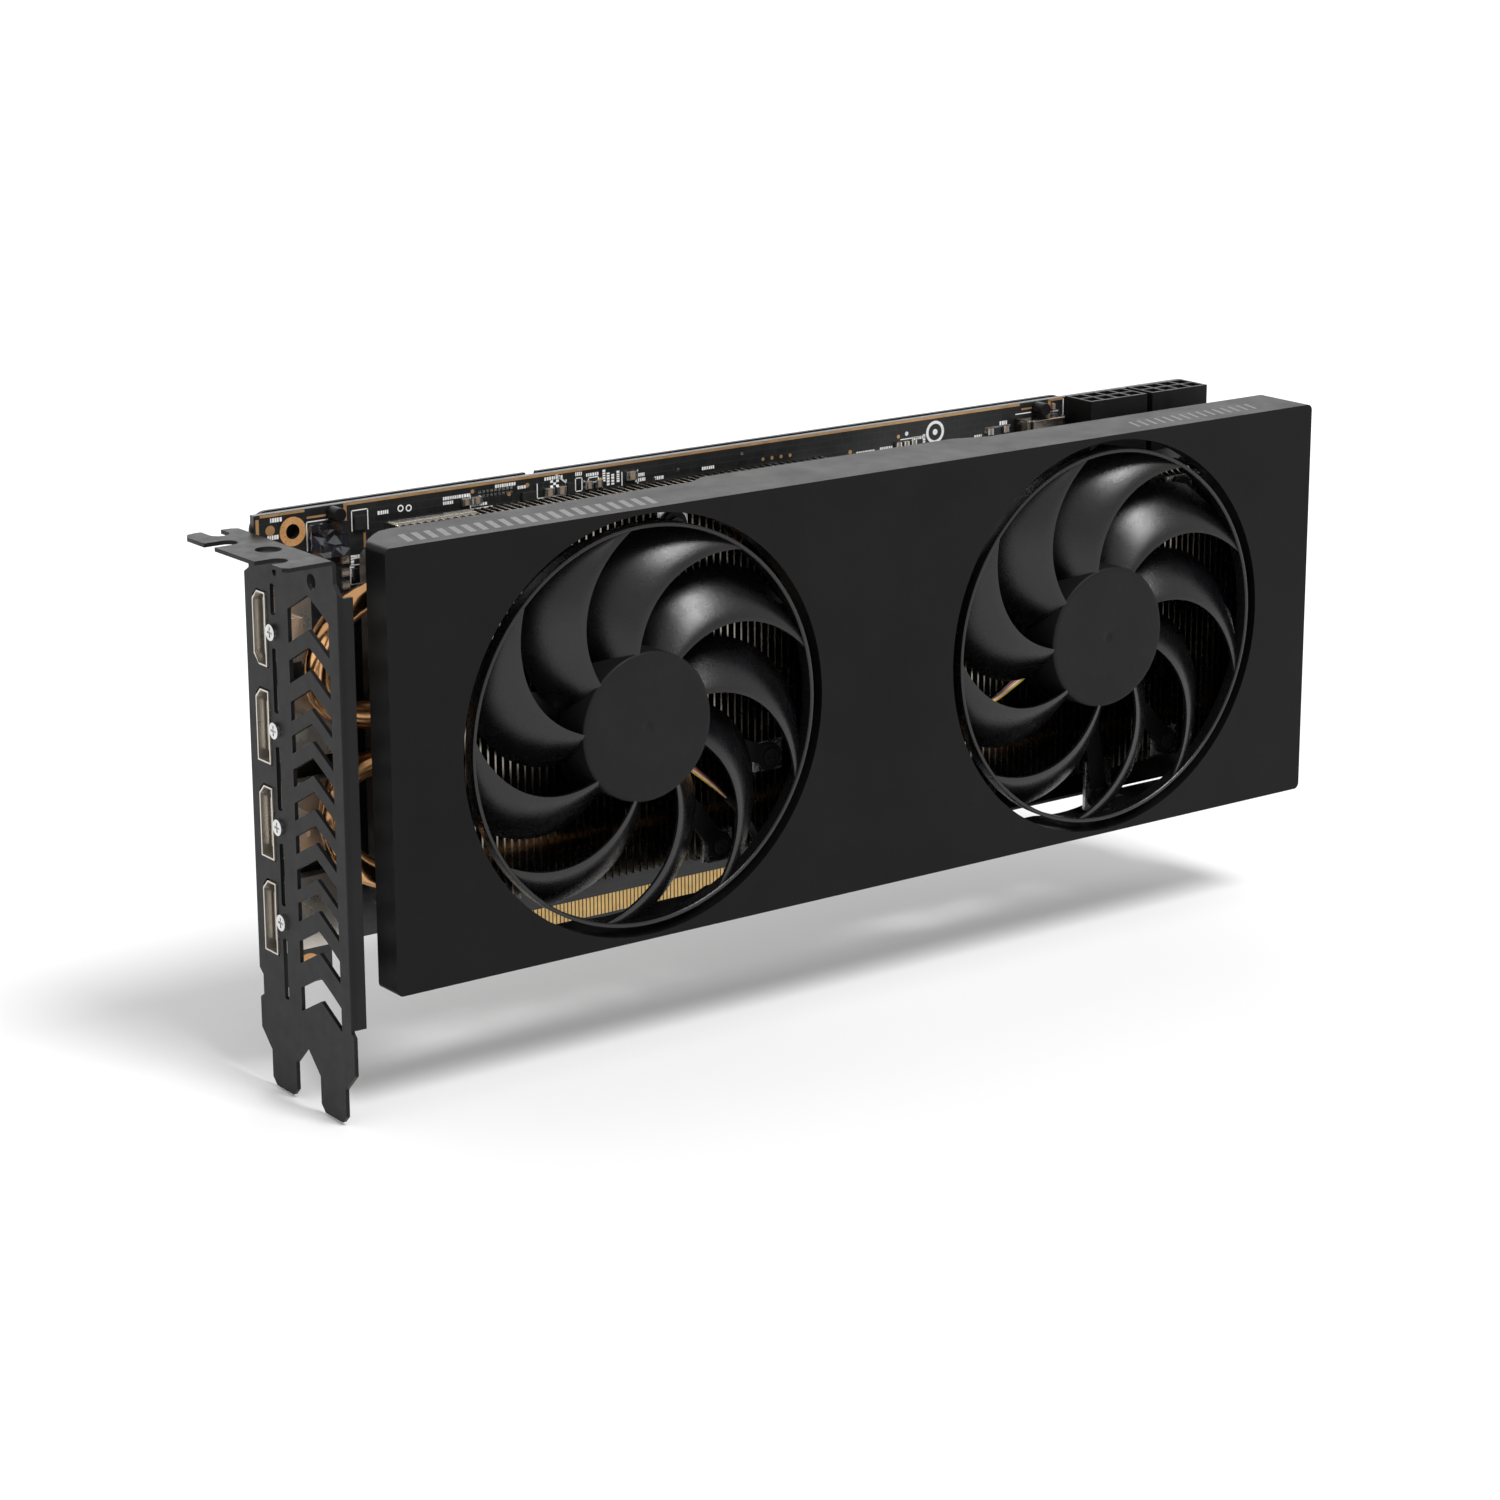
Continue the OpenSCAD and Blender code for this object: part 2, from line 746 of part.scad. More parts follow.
// Outline in (y, z) with the two board-side corners bevelled
module hdmi_2d(g) {
    polygon([[port_y0 + g, -port_half + g], [-3 + g / 3, -port_half + g],
        [port_y1 - g, -port_half + port_bevel + g], [port_y1 - g, port_half - port_bevel - g],
        [-3 + g / 3, port_half - g], [port_y0 + g, port_half - g]]);
}

// Outline in (y, z) with one bevelled corner
module dp_2d(g) {
    polygon([[port_y0 + g, -port_half + g], [port_y1 - g, -port_half + g],
        [port_y1 - g, port_half - port_bevel - g / 2],
        [port_y1 - port_bevel - g / 2, port_half - g], [port_y0 + g, port_half - g]]);
}

module hdmi_port() {
    color([0.62, 0.6, 0.56])
        translate([0, 0, port_z[0]]) {
            difference() {
                plate_x(port_out, hdmi_depth) hdmi_2d(0);
                plate_x(port_out - 1, hdmi_depth - 1) hdmi_2d(port_wall);
            }
            for (z = [-6, 6])
                slab(7, 9, port_y1, pcb_front, z - 0.5, z + 0.5);
        }
}

module display_ports() {
    color([0.62, 0.6, 0.56])
        for (i = [1:3])
            translate([0, 0, port_z[i]]) {
                difference() {
                    plate_x(port_out, dp_depth) dp_2d(0);
                    plate_x(port_out - 1, dp_depth - 1) dp_2d(port_wall);
                }
                for (x = [8, 15])
                    slab(x, x + 2, port_y1, pcb_front, -6.5, -5.5);
            }
}

module port_tongues() {
    color([0.07, 0.07, 0.07]) {
        translate([0, 0, port_z[0]]) {
            slab(1.4, hdmi_depth - 1, -3.6, -2.4, -6, 6);
            slab(hdmi_depth - 3, hdmi_depth - 1, -5.8, -3.6, -6, 6);
        }
        for (i = [1:3])
            translate([0, 0, port_z[i]]) {
                slab(1.6, dp_depth - 1, -3.4, -2, -6, 4.6);
                slab(dp_depth - 4, dp_depth - 1, -5.8, -3.4, -6, 4.6);
            }
    }
}

// Threaded blocks beside the sockets that take the bracket screws
module port_blocks() {
    color([0.55, 0.54, 0.52])
        for (z = port_z)
            difference() {
                slab(bracket_t, 6, -10.8, port_y0, z - 2.6, z + 2.6);
                rod_x(port_screw_y, z, 1.28, bracket_t - 1, 5);
            }
}

socket_x = [228.4, 247.6];
socket_half = 8.8;
socket_y0 = -10.4;
socket_z0 = 89.6;
socket_z1 = 103.7;
cell_pitch = 4.2;
cell = 3.3;

module power_sockets() {
    color([0.06, 0.06, 0.06])
        for (cx = socket_x)
            difference() {
                slab(cx - socket_half, cx + socket_half, socket_y0, pcb_front, socket_z0, socket_z1);
                for (i = [-1.5:1:1.5])
                    for (j = [-0.5, 0.5])
                        translate([cx + i * cell_pitch - cell / 2,
                            (socket_y0 + pcb_front) / 2 + j * cell_pitch - cell / 2,
                            socket_z1 - 9]) cube([cell, cell, 10]);
            }
}

module power_pins() {
    color([0.8, 0.7, 0.45])
        for (cx = socket_x)
            for (i = [-1.5:1:1.5])
                for (j = [-0.5, 0.5])
                    slab(cx + i * cell_pitch - 0.6, cx + i * cell_pitch + 0.6,
                        (socket_y0 + pcb_front) / 2 + j * cell_pitch - 0.6,
                        (socket_y0 + pcb_front) / 2 + j * cell_pitch + 0.6,
                        socket_z1 - 9, socket_z1 - 2);
}

// ---------- bracket ----------

fold_r = 1.2;
flange_x = 3.1;
flange_z0 = 2;
flange_z1 = 93;

module chevron(z, h) {
    polygon([[-15.2, z - 4.4], [-23.5, z], [-28, z - 2.3], [-31.6, z - 4.4],
        [-31.6, z - 4.4 - h], [-23.5, z - h], [-15.2, z - 4.4 - h]]);
}

module face_2d() {
    tab0 = by_rear - tab_inset;
    tab1 = tab0 - tab_w;
    tab2 = tab0 - slot_pitch;
    tab3 = tab2 - tab_w;
    shoulder = -7.9;
    neck = shoulder - tab_inset;
    apex_y = (tab1 + tab2) / 2;
    apex_z = neck + (tab1 - tab2) / 2;
    polygon([
        [by_rear, shoulder], [tab0, neck], [tab0, bz_bottom + 1.6], [tab0 - 1.6, bz_bottom],
        [tab1 + 1.6, bz_bottom], [tab1, bz_bottom + 1.6], [tab1, neck], [apex_y, apex_z],
        [tab2, neck], [tab2, bz_bottom + 1.6], [tab2 - 1.6, bz_bottom], [tab3 + 1.6, bz_bottom],
        [tab3, bz_bottom + 1.6], [tab3, neck], [by_front, shoulder], [by_front, 0.4],
        [by_front + 1, 1.3], [by_front + 1, flange_z0], [by_front, flange_z0],
        [by_front, flange_z1], [by_front + 2.4, 95.6], [by_front + 2.4, bz_top],
        [0.4, bz_top], [0.4, 92.8], [by_rear, 91.6], [by_rear, 5.4], [0.9, 4.2], [0.9, -0.2],
        [by_rear, -1.2]]);
}

module face_openings_2d() {
    translate([0, port_z[0]])
        polygon([[-6.6, -8.1], [-2.4, -8.1], [-0.75, -6.6], [-0.75, 6.6], [-2.4, 8.1],
            [-6.6, 8.1]]);
    for (i = [1:3])
        translate([0, port_z[i]])
            polygon([[-6.6, -8.15], [-0.75, -8.15], [-0.75, 6.6], [-2.4, 8.15], [-6.6, 8.15]]);
    for (i = [0:len(chevron_z) - 1]) chevron(chevron_z[i], chevron_h[i]);
    for (r = [[91.1, 84.5], [77.4, 63.6], [56.4, 42.7], [35.5, 21.9], [14.7, 1.3]])
        round_box_2d(-9.9, -8.2, r[1], r[0], 0.5);
    for (z = port_z) translate([port_screw_y, z]) circle(1.35);
    translate([-10.3, 93.7]) circle(0.8);
    translate([-25.3, 94.5]) circle(1.7);
}

module top_plate_2d() {
    notch_r = 2.21;
    near = -6.8;
    far = near - slot_pitch;
    difference() {
        polygon([[bracket_t, -33.94], [-10, -34.4], [-11.1, -33.4], [-11.1, far - notch_r],
            [-12.5, far + notch_r], [-12.7, near - notch_r - 0.2], [-12.7, near + notch_r],
            [-12.7, 2.6], [-11.6, 4.6], [-9.4, 5.2], [-1.4, 4.6], [bracket_t, 3.2]]);
        for (y = [near, far]) {
            translate([-8.6, y]) circle(notch_r);
            box_2d(-14, -8.6, y - notch_r, y + notch_r);
        }
        translate([-5.9, 1.6]) circle(notch_r);
        box_2d(-5.9 - notch_r, -5.9 + notch_r, 1.6, 7);
        translate([-5, -17.2]) circle(plate_hole_r);
    }
}

module bracket() {
    color([0.1, 0.1, 0.105])
        difference() {
            union() {
                plate_x(0, bracket_t)
                    difference() {
                        face_2d();
                        face_openings_2d();
                    }
                plate_z(bz_top - bracket_t, bz_top) top_plate_2d();
                slab(0, flange_x, by_front, by_front + bracket_t, flange_z0 + eps, flange_z1);
            }
            difference() {
                slab(bracket_t - fold_r, bracket_t + 1, -40, 8, bz_top - fold_r, bz_top + 1);
                translate([bracket_t - fold_r, -41, bz_top - fold_r]) rotate([-90, 0, 0])
                    cylinder(h = 50, r = fold_r);
            }
            difference() {
                slab(-1, fold_r, by_front - 1, by_front + fold_r, flange_z0, flange_z1 + 1);
                rod_z(fold_r, by_front + fold_r, fold_r, flange_z0 - 1, flange_z1 + 2);
            }
        }
}

module bracket_screws() {
    color([0.75, 0.75, 0.76])
        for (z = port_z)
            translate([-0.75, port_screw_y, z]) rotate([0, 90, 0]) screw(1.75, 0.75, 1.25, 4.5);
}

// ---------- rear ----------

clamp_half = 29;
clamp_rear = 2.8;
clamp_spots = [for (sx = [-1, 1]) for (sz = [-1, 1])
    [chip_x + sx * clamp_half, chip_z + sz * clamp_half]];
spacer_spots = [[6, 16], [6, 90], [70, 96], [70, 13], [140, 96], [140, 14], [200, 96], [245, 74], [245, 14]];
spacer_r = 2.4;

module backplate_2d() {
    difference() {
        union() {
            round_box_2d(bp_x0, bp_step_x, bp_bottom, bp_top, 4);
            round_box_2d(bp_step_x - 12, bp_x1, bp_bottom, bp_step_z, 3);
        }
        translate([70.5, bp_top]) circle(1.4);
        round_box_2d(chip_x - 34, chip_x + 34, chip_z - 34, chip_z + 34, 3);
        for (p = post_spots) translate(p) circle(3.2);
        for (p = spacer_spots) translate(p) circle(1.1);
    }
}

module backplate() {
    color([0.11, 0.11, 0.12]) plate_y(bp_front, bp_rear) backplate_2d();
}

module backplate_spacers() {
    color([0.7, 0.6, 0.35])
        for (p = spacer_spots) tube_y(p[0], p[1], spacer_r, 1.05, pcb_rear, bp_front);
}

module backplate_screws() {
    color([0.2, 0.2, 0.2])
        for (p = spacer_spots)
            screw_y(p[0], p[1], bp_rear + 0.6, -1, 2.2, 0.6, 1, 1.9);
}

module clamp_frame() {
    color([0.5, 0.5, 0.5])
        difference() {
            union() {
                translate([chip_x, clamp_rear, chip_z]) rotate([90, 0, 0])
                    linear_extrude(1.2)
                        for (a = [45, 135])
                            rotate(a) round_box_2d(-45, 45, -4, 4, 3.9);
                for (p = clamp_spots) rod_y(p[0], p[1], 3.4, pcb_rear, clamp_rear - 0.5);
            }
            for (p = clamp_spots) rod_y(p[0], p[1], 1.6, 0, 6);
        }
}

module clamp_screws() {
    color([0.7, 0.7, 0.7])
        for (p = clamp_spots)
            screw_y(p[0], p[1], clamp_rear + 0.7, -1, 2.6, 0.7, 1.4, 6);
}

// ---------- assembly ----------

shroud();
shroud_screws();
shroud_posts();
impeller_left();
impeller_right();
magnet(fan_x_left);  // magnet_left
magnet(fan_x_right);  // magnet_right
fan_shaft(fan_x_left);  // fan_shaft_left
fan_shaft(fan_x_right);  // fan_shaft_right
fan_frame(fan_x_left, arms_left);  // fan_frame_left
fan_frame(fan_x_right, arms_right);  // fan_frame_right
bearing(fan_x_left);  // bearing_left
bearing(fan_x_right);  // bearing_right
stator(fan_x_left);  // stator_left
stator(fan_x_right);  // stator_right
fan_screws();
fan_tabs();
fan_leads();
fan_plugs();
fan_headers();
fins_left();
fins_right();
heat_pipes();
cold_plate();
base_plate();
vrm_plate();
thermal_pads();
circuit_board();
stiffener();
edge_contacts();
hole_rings();
processor_package();
processor_die();
memory_chips();
power_stages();
chokes();
input_choke();
can_capacitors();
ceramic_capacitors();
control_chips();
film_cover();
edge_posts();
hdmi_port();
display_ports();
port_tongues();
port_blocks();
power_sockets();
power_pins();
bracket();
bracket_screws();
backplate();
backplate_spacers();
backplate_screws();
clamp_frame();
clamp_screws();
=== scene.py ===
import bpy
import bmesh
import math
import random
from mathutils import Vector, Matrix


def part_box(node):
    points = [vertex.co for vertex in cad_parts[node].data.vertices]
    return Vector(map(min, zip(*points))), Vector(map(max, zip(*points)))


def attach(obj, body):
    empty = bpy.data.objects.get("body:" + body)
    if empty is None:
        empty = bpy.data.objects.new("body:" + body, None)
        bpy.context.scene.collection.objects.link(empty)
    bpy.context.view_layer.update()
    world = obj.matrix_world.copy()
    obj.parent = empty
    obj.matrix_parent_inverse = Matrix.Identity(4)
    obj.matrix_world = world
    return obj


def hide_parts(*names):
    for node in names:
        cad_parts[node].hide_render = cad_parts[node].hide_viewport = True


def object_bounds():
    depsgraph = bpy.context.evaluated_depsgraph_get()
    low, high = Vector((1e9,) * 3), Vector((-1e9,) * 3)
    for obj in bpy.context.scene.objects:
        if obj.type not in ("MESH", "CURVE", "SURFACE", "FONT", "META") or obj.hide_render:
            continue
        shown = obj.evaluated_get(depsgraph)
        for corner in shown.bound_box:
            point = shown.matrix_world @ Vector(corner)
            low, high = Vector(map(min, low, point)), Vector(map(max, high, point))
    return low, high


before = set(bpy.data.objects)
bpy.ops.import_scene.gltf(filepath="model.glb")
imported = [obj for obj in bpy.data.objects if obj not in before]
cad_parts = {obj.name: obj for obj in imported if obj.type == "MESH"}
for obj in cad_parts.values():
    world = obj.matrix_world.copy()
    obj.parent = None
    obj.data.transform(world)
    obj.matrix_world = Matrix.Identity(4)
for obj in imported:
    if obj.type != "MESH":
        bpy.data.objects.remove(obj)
cad_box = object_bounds()
MM = 0.001
GLOSS_SCALE = 3.1  # how much finer the gloss varies than the colour
random.seed(7)


# ---------------------------------------------------------------- materials

def node_tree(name):
    mat = bpy.data.materials.new(name)
    mat.use_nodes = True
    nt = mat.node_tree
    bsdf = nt.nodes["Principled BSDF"]
    return mat, nt, bsdf


def noise(nt, scale, detail=3.0, rough=0.5, stretch=None):
    coord = nt.nodes.new("ShaderNodeTexCoord")
    mapping = nt.nodes.new("ShaderNodeMapping")
    if stretch:
        mapping.inputs["Scale"].default_value = stretch
    nt.links.new(coord.outputs["Object"], mapping.inputs["Vector"])
    tex = nt.nodes.new("ShaderNodeTexNoise")
    tex.inputs["Scale"].default_value = scale
    tex.inputs["Detail"].default_value = detail
    tex.inputs["Roughness"].default_value = rough
    nt.links.new(mapping.outputs["Vector"], tex.inputs["Vector"])
    return tex.outputs["Fac"]


def ramp(nt, fac, stops):
    node = nt.nodes.new("ShaderNodeValToRGB")
    els = node.color_ramp.elements
    while len(els) < len(stops):
        els.new(0.5)
    for el, (pos, col) in zip(els, stops):
        el.position = pos
        el.color = (*col, 1) if len(col) == 3 else (col[0], col[0], col[0], 1)
    nt.links.new(fac, node.inputs["Fac"])
    return node.outputs["Color"]


def surface(name, base, rough=0.5, metal=0.0, spread=0.15, rough_spread=0.08, mottle=60.0,
            grain=4000.0, bump=0.0, bump_mm=0.02, coat=0.0, coat_rough=0.1, spec=0.5,
            stretch=None, fleck=None):
    """A procedural finish: mottled colour, uneven gloss, a fine grain and, where given, flecks."""
    mat, nt, bsdf = node_tree(name)
    dark = [c * (1 - spread) for c in base]
    light = [min(1, c * (1 + spread)) for c in base]
    big = noise(nt, mottle, 4.0, 0.55, stretch)
    colour = ramp(nt, big, [(0.3, dark), (0.7, light)])
    fine = noise(nt, grain, 2.0, 0.6, stretch)
    if fleck:
        mix = nt.nodes.new("ShaderNodeMix")
        mix.data_type = "RGBA"
        spots = ramp(nt, fine, [(0.56, (0,)), (0.68, (1,))])
        nt.links.new(spots, mix.inputs["Factor"])
        nt.links.new(colour, mix.inputs["A"])
        mix.inputs["B"].default_value = (*fleck, 1)
        colour = mix.outputs["Result"]
    nt.links.new(colour, bsdf.inputs["Base Color"])
    smooth = max(0.02, rough - rough_spread)
    dull = min(1, rough + rough_spread)
    uneven = noise(nt, mottle * GLOSS_SCALE, 3.0, 0.6, stretch)
    gloss = ramp(nt, uneven, [(0.25, (smooth,)), (0.75, (dull,))])
    nt.links.new(gloss, bsdf.inputs["Roughness"])
    bsdf.inputs["Metallic"].default_value = metal
    bsdf.inputs["Specular IOR Level"].default_value = spec
    bsdf.inputs["Coat Weight"].default_value = coat
    bsdf.inputs["Coat Roughness"].default_value = coat_rough
    if bump:
        node = nt.nodes.new("ShaderNodeBump")
        node.inputs["Strength"].default_value = bump
        node.inputs["Distance"].default_value = bump_mm * MM
        nt.links.new(fine, node.inputs["Height"])
        nt.links.new(node.outputs["Normal"], bsdf.inputs["Normal"])
    return mat


M = {
    "shroud": surface("shroud_black", (0.0042, 0.0042, 0.0045), 0.4, 0, 0.25, 0.05, 40, 3000, 0.7, 0.04,
                      spec=0.12),
    "fan": surface("fan_black", (0.003, 0.003, 0.0036), 0.27, 0, 0.25, 0.05, 70, 4200, 1.0, 0.04, spec=0.5),
    "hub": surface("hub_black", (0.009, 0.009, 0.0095), 0.5, 0, 0.12, 0.05, 120, 5200, 0.4, 0.02, spec=0.14),
    "frame_black": surface("motor_frame_black", (0.004, 0.004, 0.0045), 0.4, 0, 0.2, 0.08, 200, 5200, 0.3,
                           spec=0.2),
    "bracket": surface("bracket_coat", (0.008, 0.008, 0.0085), 0.42, 0, 0.2, 0.06, 90, 3600, 0.5, 0.02,
                       spec=0.16),
    # lighter, partly metallic colour for the bracket's rounded edges: a painted highlight
    "bracket_edge": surface("bracket_edge", (0.03, 0.03, 0.03), 0.34, 0.3, 0.4, 0.08, 300, 3600, 0.4, 0.02,
                            spec=0.3),
    "backplate": surface("backplate_coat", (0.009, 0.009, 0.0095), 0.38, 0, 0.2, 0.07, 60, 4200, 0.45, 0.02,
                         spec=0.2),
    # fin metal darkened well below aluminium's own colour: painted shade inside the shroud
    "aluminium": surface("fin_aluminium", (0.3, 0.275, 0.235), 0.26, 1, 0.12, 0.08, 60, 2400, 0.0),
    "plate": surface("cast_plate", (0.5, 0.48, 0.45), 0.42, 1, 0.15, 0.1, 110, 2600, 0.4, 0.03),
    "pipe": surface("pipe_metal", (0.78, 0.42, 0.19), 0.2, 1, 0.12, 0.07, 70, 2600, 0.0),
    "copper": surface("copper", (0.74, 0.4, 0.2), 0.3, 1, 0.15, 0.1, 120, 2600, 0.25, 0.02),
    "ring": surface("ring_copper", (0.8, 0.42, 0.17), 0.3, 0.35, 0.12, 0.1, 300, 2600, 0.3, 0.02),
    "trace": surface("bare_trace", (0.62, 0.36, 0.16), 0.38, 0.6, 0.15, 0.1, 300, 2600, 0.3, 0.02),
    "steel": surface("steel", (0.6, 0.6, 0.6), 0.28, 1, 0.1, 0.08, 300, 3200, 0.2, 0.02),
    "screw": surface("screw_zinc", (0.62, 0.62, 0.62), 0.24, 1, 0.12, 0.08, 400, 3600, 0.2, 0.02),
    "black_screw": surface("screw_black", (0.03, 0.03, 0.032), 0.34, 0.8, 0.2, 0.08, 400, 3600, 0.3, 0.02),
    "shell": surface("port_shell", (0.6, 0.56, 0.5), 0.3, 0.85, 0.1, 0.06, 60, 3200, 0.0),
    "plastic": surface("connector_black", (0.006, 0.006, 0.0062), 0.45, 0, 0.2, 0.08, 200, 3600, 0.4, 0.02,
                       spec=0.2),
    # gold darkened below its own colour: painted shade on the contacts low under the shroud
    "gold": surface("gold_plate_painted_shade", (0.6, 0.4, 0.16), 0.34, 1, 0.12, 0.08, 500, 4200, 0.2, 0.01),
    "solder": surface("solder", (0.75, 0.75, 0.73), 0.3, 1, 0.15, 0.1, 900, 5200, 0.5, 0.03),
    "chip": surface("chip_epoxy", (0.014, 0.014, 0.015), 0.45, 0, 0.2, 0.08, 500, 6200, 0.4, 0.01),
    "ceramic": surface("ceramic", (0.26, 0.2, 0.15), 0.35, 0, 0.25, 0.08, 700, 5200, 0.3, 0.01),
    "choke": surface("choke_grey", (0.06, 0.06, 0.058), 0.5, 0.2, 0.2, 0.08, 300, 3000, 0.6, 0.04,
                     fleck=(0.12, 0.12, 0.115)),
    "coil": surface("coil_metal", (0.3, 0.27, 0.23), 0.2, 1, 0.15, 0.08, 300, 3000, 0.5, 0.03),
    "can": surface("can_alu", (0.7, 0.7, 0.7), 0.25, 1, 0.08, 0.08, 300, 3600, 0.2, 0.02),
    "pad": surface("thermal_pad", (0.32, 0.34, 0.4), 0.8, 0, 0.15, 0.06, 300, 3000, 0.6, 0.05),
    "package": surface("package_green", (0.02, 0.06, 0.035), 0.4, 0, 0.2, 0.08, 300, 4200, 0.2, 0.01),
    "silicon": surface("silicon", (0.12, 0.12, 0.14), 0.12, 1, 0.1, 0.04, 200, 5200, 0.05, 0.01),
    "winding": surface("winding", (0.5, 0.2, 0.08), 0.35, 0.8, 0.25, 0.1, 900, 2500, 0.9, 0.15,
                       stretch=(1, 9, 1)),
    "bronze": surface("bronze", (0.45, 0.3, 0.13), 0.4, 1, 0.2, 0.1, 400, 2600, 0.5, 0.03),
    "magnet": surface("magnet_grey", (0.08, 0.08, 0.08), 0.6, 0.3, 0.2, 0.08, 300, 3600, 0.5, 0.03),
    "film": surface("film_black", (0.02, 0.021, 0.026), 0.16, 0, 0.2, 0.05, 160, 420, 0.4, 0.3,
                    coat=1.0, coat_rough=0.05, spec=0.7),
    "silk": surface("silk_white", (0.85, 0.85, 0.84), 0.6, 0, 0.08, 0.06, 900, 5200, 0.4, 0.01),
    "print": surface("print_grey", (0.16, 0.16, 0.16), 0.55, 0, 0.08, 0.06, 300, 3200, 0.4, 0.02),
    "sleeve": surface("sleeve_black", (0.012, 0.012, 0.013), 0.5, 0, 0.2, 0.08, 600, 3000, 0.6, 0.03),
    "wire_yellow": surface("wire_yellow", (0.8, 0.55, 0.05), 0.35, 0, 0.1, 0.06, 600, 3000, 0.3),
    "wire_white": surface("wire_white", (0.75, 0.75, 0.73), 0.35, 0, 0.08, 0.06, 600, 3000, 0.3),
    "wire_orange": surface("wire_orange", (0.7, 0.16, 0.04), 0.35, 0, 0.1, 0.06, 600, 3000, 0.3),
    "wire_black": surface("wire_black", (0.015, 0.015, 0.016), 0.35, 0, 0.1, 0.06, 600, 3000, 0.3),
}


def board_finish():
    """Black solder mask with a faint grid of copper runs under it."""
    mat, nt, bsdf = node_tree("board_mask")
    coord = nt.nodes.new("ShaderNodeTexCoord")
    big = noise(nt, 90, 4)
    base = ramp(nt, big, [(0.3, (0.007, 0.0075, 0.008)), (0.7, (0.012, 0.0125, 0.0135))])
    cells = nt.nodes.new("ShaderNodeTexBrick")
    cells.inputs["Scale"].default_value = 160
    cells.inputs["Mortar Size"].default_value = 0.012
    cells.inputs["Color1"].default_value = (0, 0, 0, 1)
    cells.inputs["Color2"].default_value = (0.35, 0.35, 0.35, 1)
    cells.inputs["Mortar"].default_value = (1, 1, 1, 1)
    turn = nt.nodes.new("ShaderNodeMapping")
    turn.inputs["Rotation"].default_value = (math.radians(90), 0, 0)
    nt.links.new(coord.outputs["Object"], turn.inputs["Vector"])
    nt.links.new(turn.outputs["Vector"], cells.inputs["Vector"])
    mix = nt.nodes.new("ShaderNodeMix")
    mix.data_type = "RGBA"
    mix.blend_type = "ADD"
    mix.inputs["Factor"].default_value = 0.012
    nt.links.new(base, mix.inputs["A"])
    nt.links.new(cells.outputs["Color"], mix.inputs["B"])
    nt.links.new(mix.outputs["Result"], bsdf.inputs["Base Color"])
    gloss = ramp(nt, noise(nt, 300, 3), [(0.3, (0.28,)), (0.7, (0.4,))])
    nt.links.new(gloss, bsdf.inputs["Roughness"])
    bump = nt.nodes.new("ShaderNodeBump")
    bump.inputs["Strength"].default_value = 0.3
    bump.inputs["Distance"].default_value = 0.03 * MM
    nt.links.new(cells.outputs["Fac"], bump.inputs["Height"])
    nt.links.new(bump.outputs["Normal"], bsdf.inputs["Normal"])
    return mat


M["board"] = board_finish()


# ---------------------------------------------------------------- mesh helpers

def weigh_normals(me, limit):
    """Large flats keep their own normal, so that only the rounded edges shade as round."""
    around = {}
    for poly in me.polygons:
        for v in poly.vertices:
            around.setdefault(v, []).append(poly.index)
    normal = [poly.normal.copy() for poly in me.polygons]
    area = [poly.area for poly in me.polygons]
    out = []
    for poly in me.polygons:
        own = normal[poly.index]
        for v in poly.vertices:
            total = Vector((0, 0, 0))
            for k in around[v]:
                if normal[k].dot(own) >= limit:
                    total += normal[k] * area[k]
            out.append(total.normalized() if total.length > 0 else own)
    me.normals_split_custom_set(out)


def finish_object(name, bm, mats, body, replaces=(), sharp=32.0):
    bmesh.ops.recalc_face_normals(bm, faces=bm.faces)
    me = bpy.data.meshes.new(name)
    bm.to_mesh(me)
    bm.free()
    for m in mats:
        me.materials.append(m)
    me.polygons.foreach_set("use_smooth", [True] * len(me.polygons))
    me.set_sharp_from_angle(angle=math.radians(sharp))
    weigh_normals(me, math.cos(math.radians(sharp)))
    obj = bpy.data.objects.new(name, me)
    bpy.context.scene.collection.objects.link(obj)
    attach(obj, body)
    if replaces:
        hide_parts(*replaces)


FLAT_ANGLE = math.radians(0.6)  # faces closer to level than this are joined into one
ROUND_ANGLE = math.radians(35)  # edges sharper than this are rounded


def refine(node, mat, width, segments=2, edge=None):
    """A copy of a CAD piece with its flats joined up and its edges rounded, in its place.
    edge is the lighter colour of the rounded edges, a painted highlight, where it isn't the same."""
    bm = bmesh.new()
    bm.from_mesh(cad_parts[node].data)
    bmesh.ops.remove_doubles(bm, verts=bm.verts, dist=2e-6)
    bmesh.ops.dissolve_limit(bm, angle_limit=FLAT_ANGLE, verts=bm.verts, edges=bm.edges)
    if width:
        edges = [e for e in bm.edges if len(e.link_faces) == 2 and e.calc_face_angle(0) > ROUND_ANGLE]
        made = bmesh.ops.bevel(bm, geom=edges, offset=width * MM, segments=segments, profile=0.5,
                               affect="EDGES", clamp_overlap=True, loop_slide=True)
        for f in bm.faces:
            f.material_index = 0
        for f in made["faces"]:
            f.material_index = 1 if edge else 0
        bmesh.ops.remove_doubles(bm, verts=bm.verts, dist=1e-6)
    mats = [mat, edge] if edge else [mat]
    finish_object(node + ".skin", bm, mats, "card", (node,), 40.0)


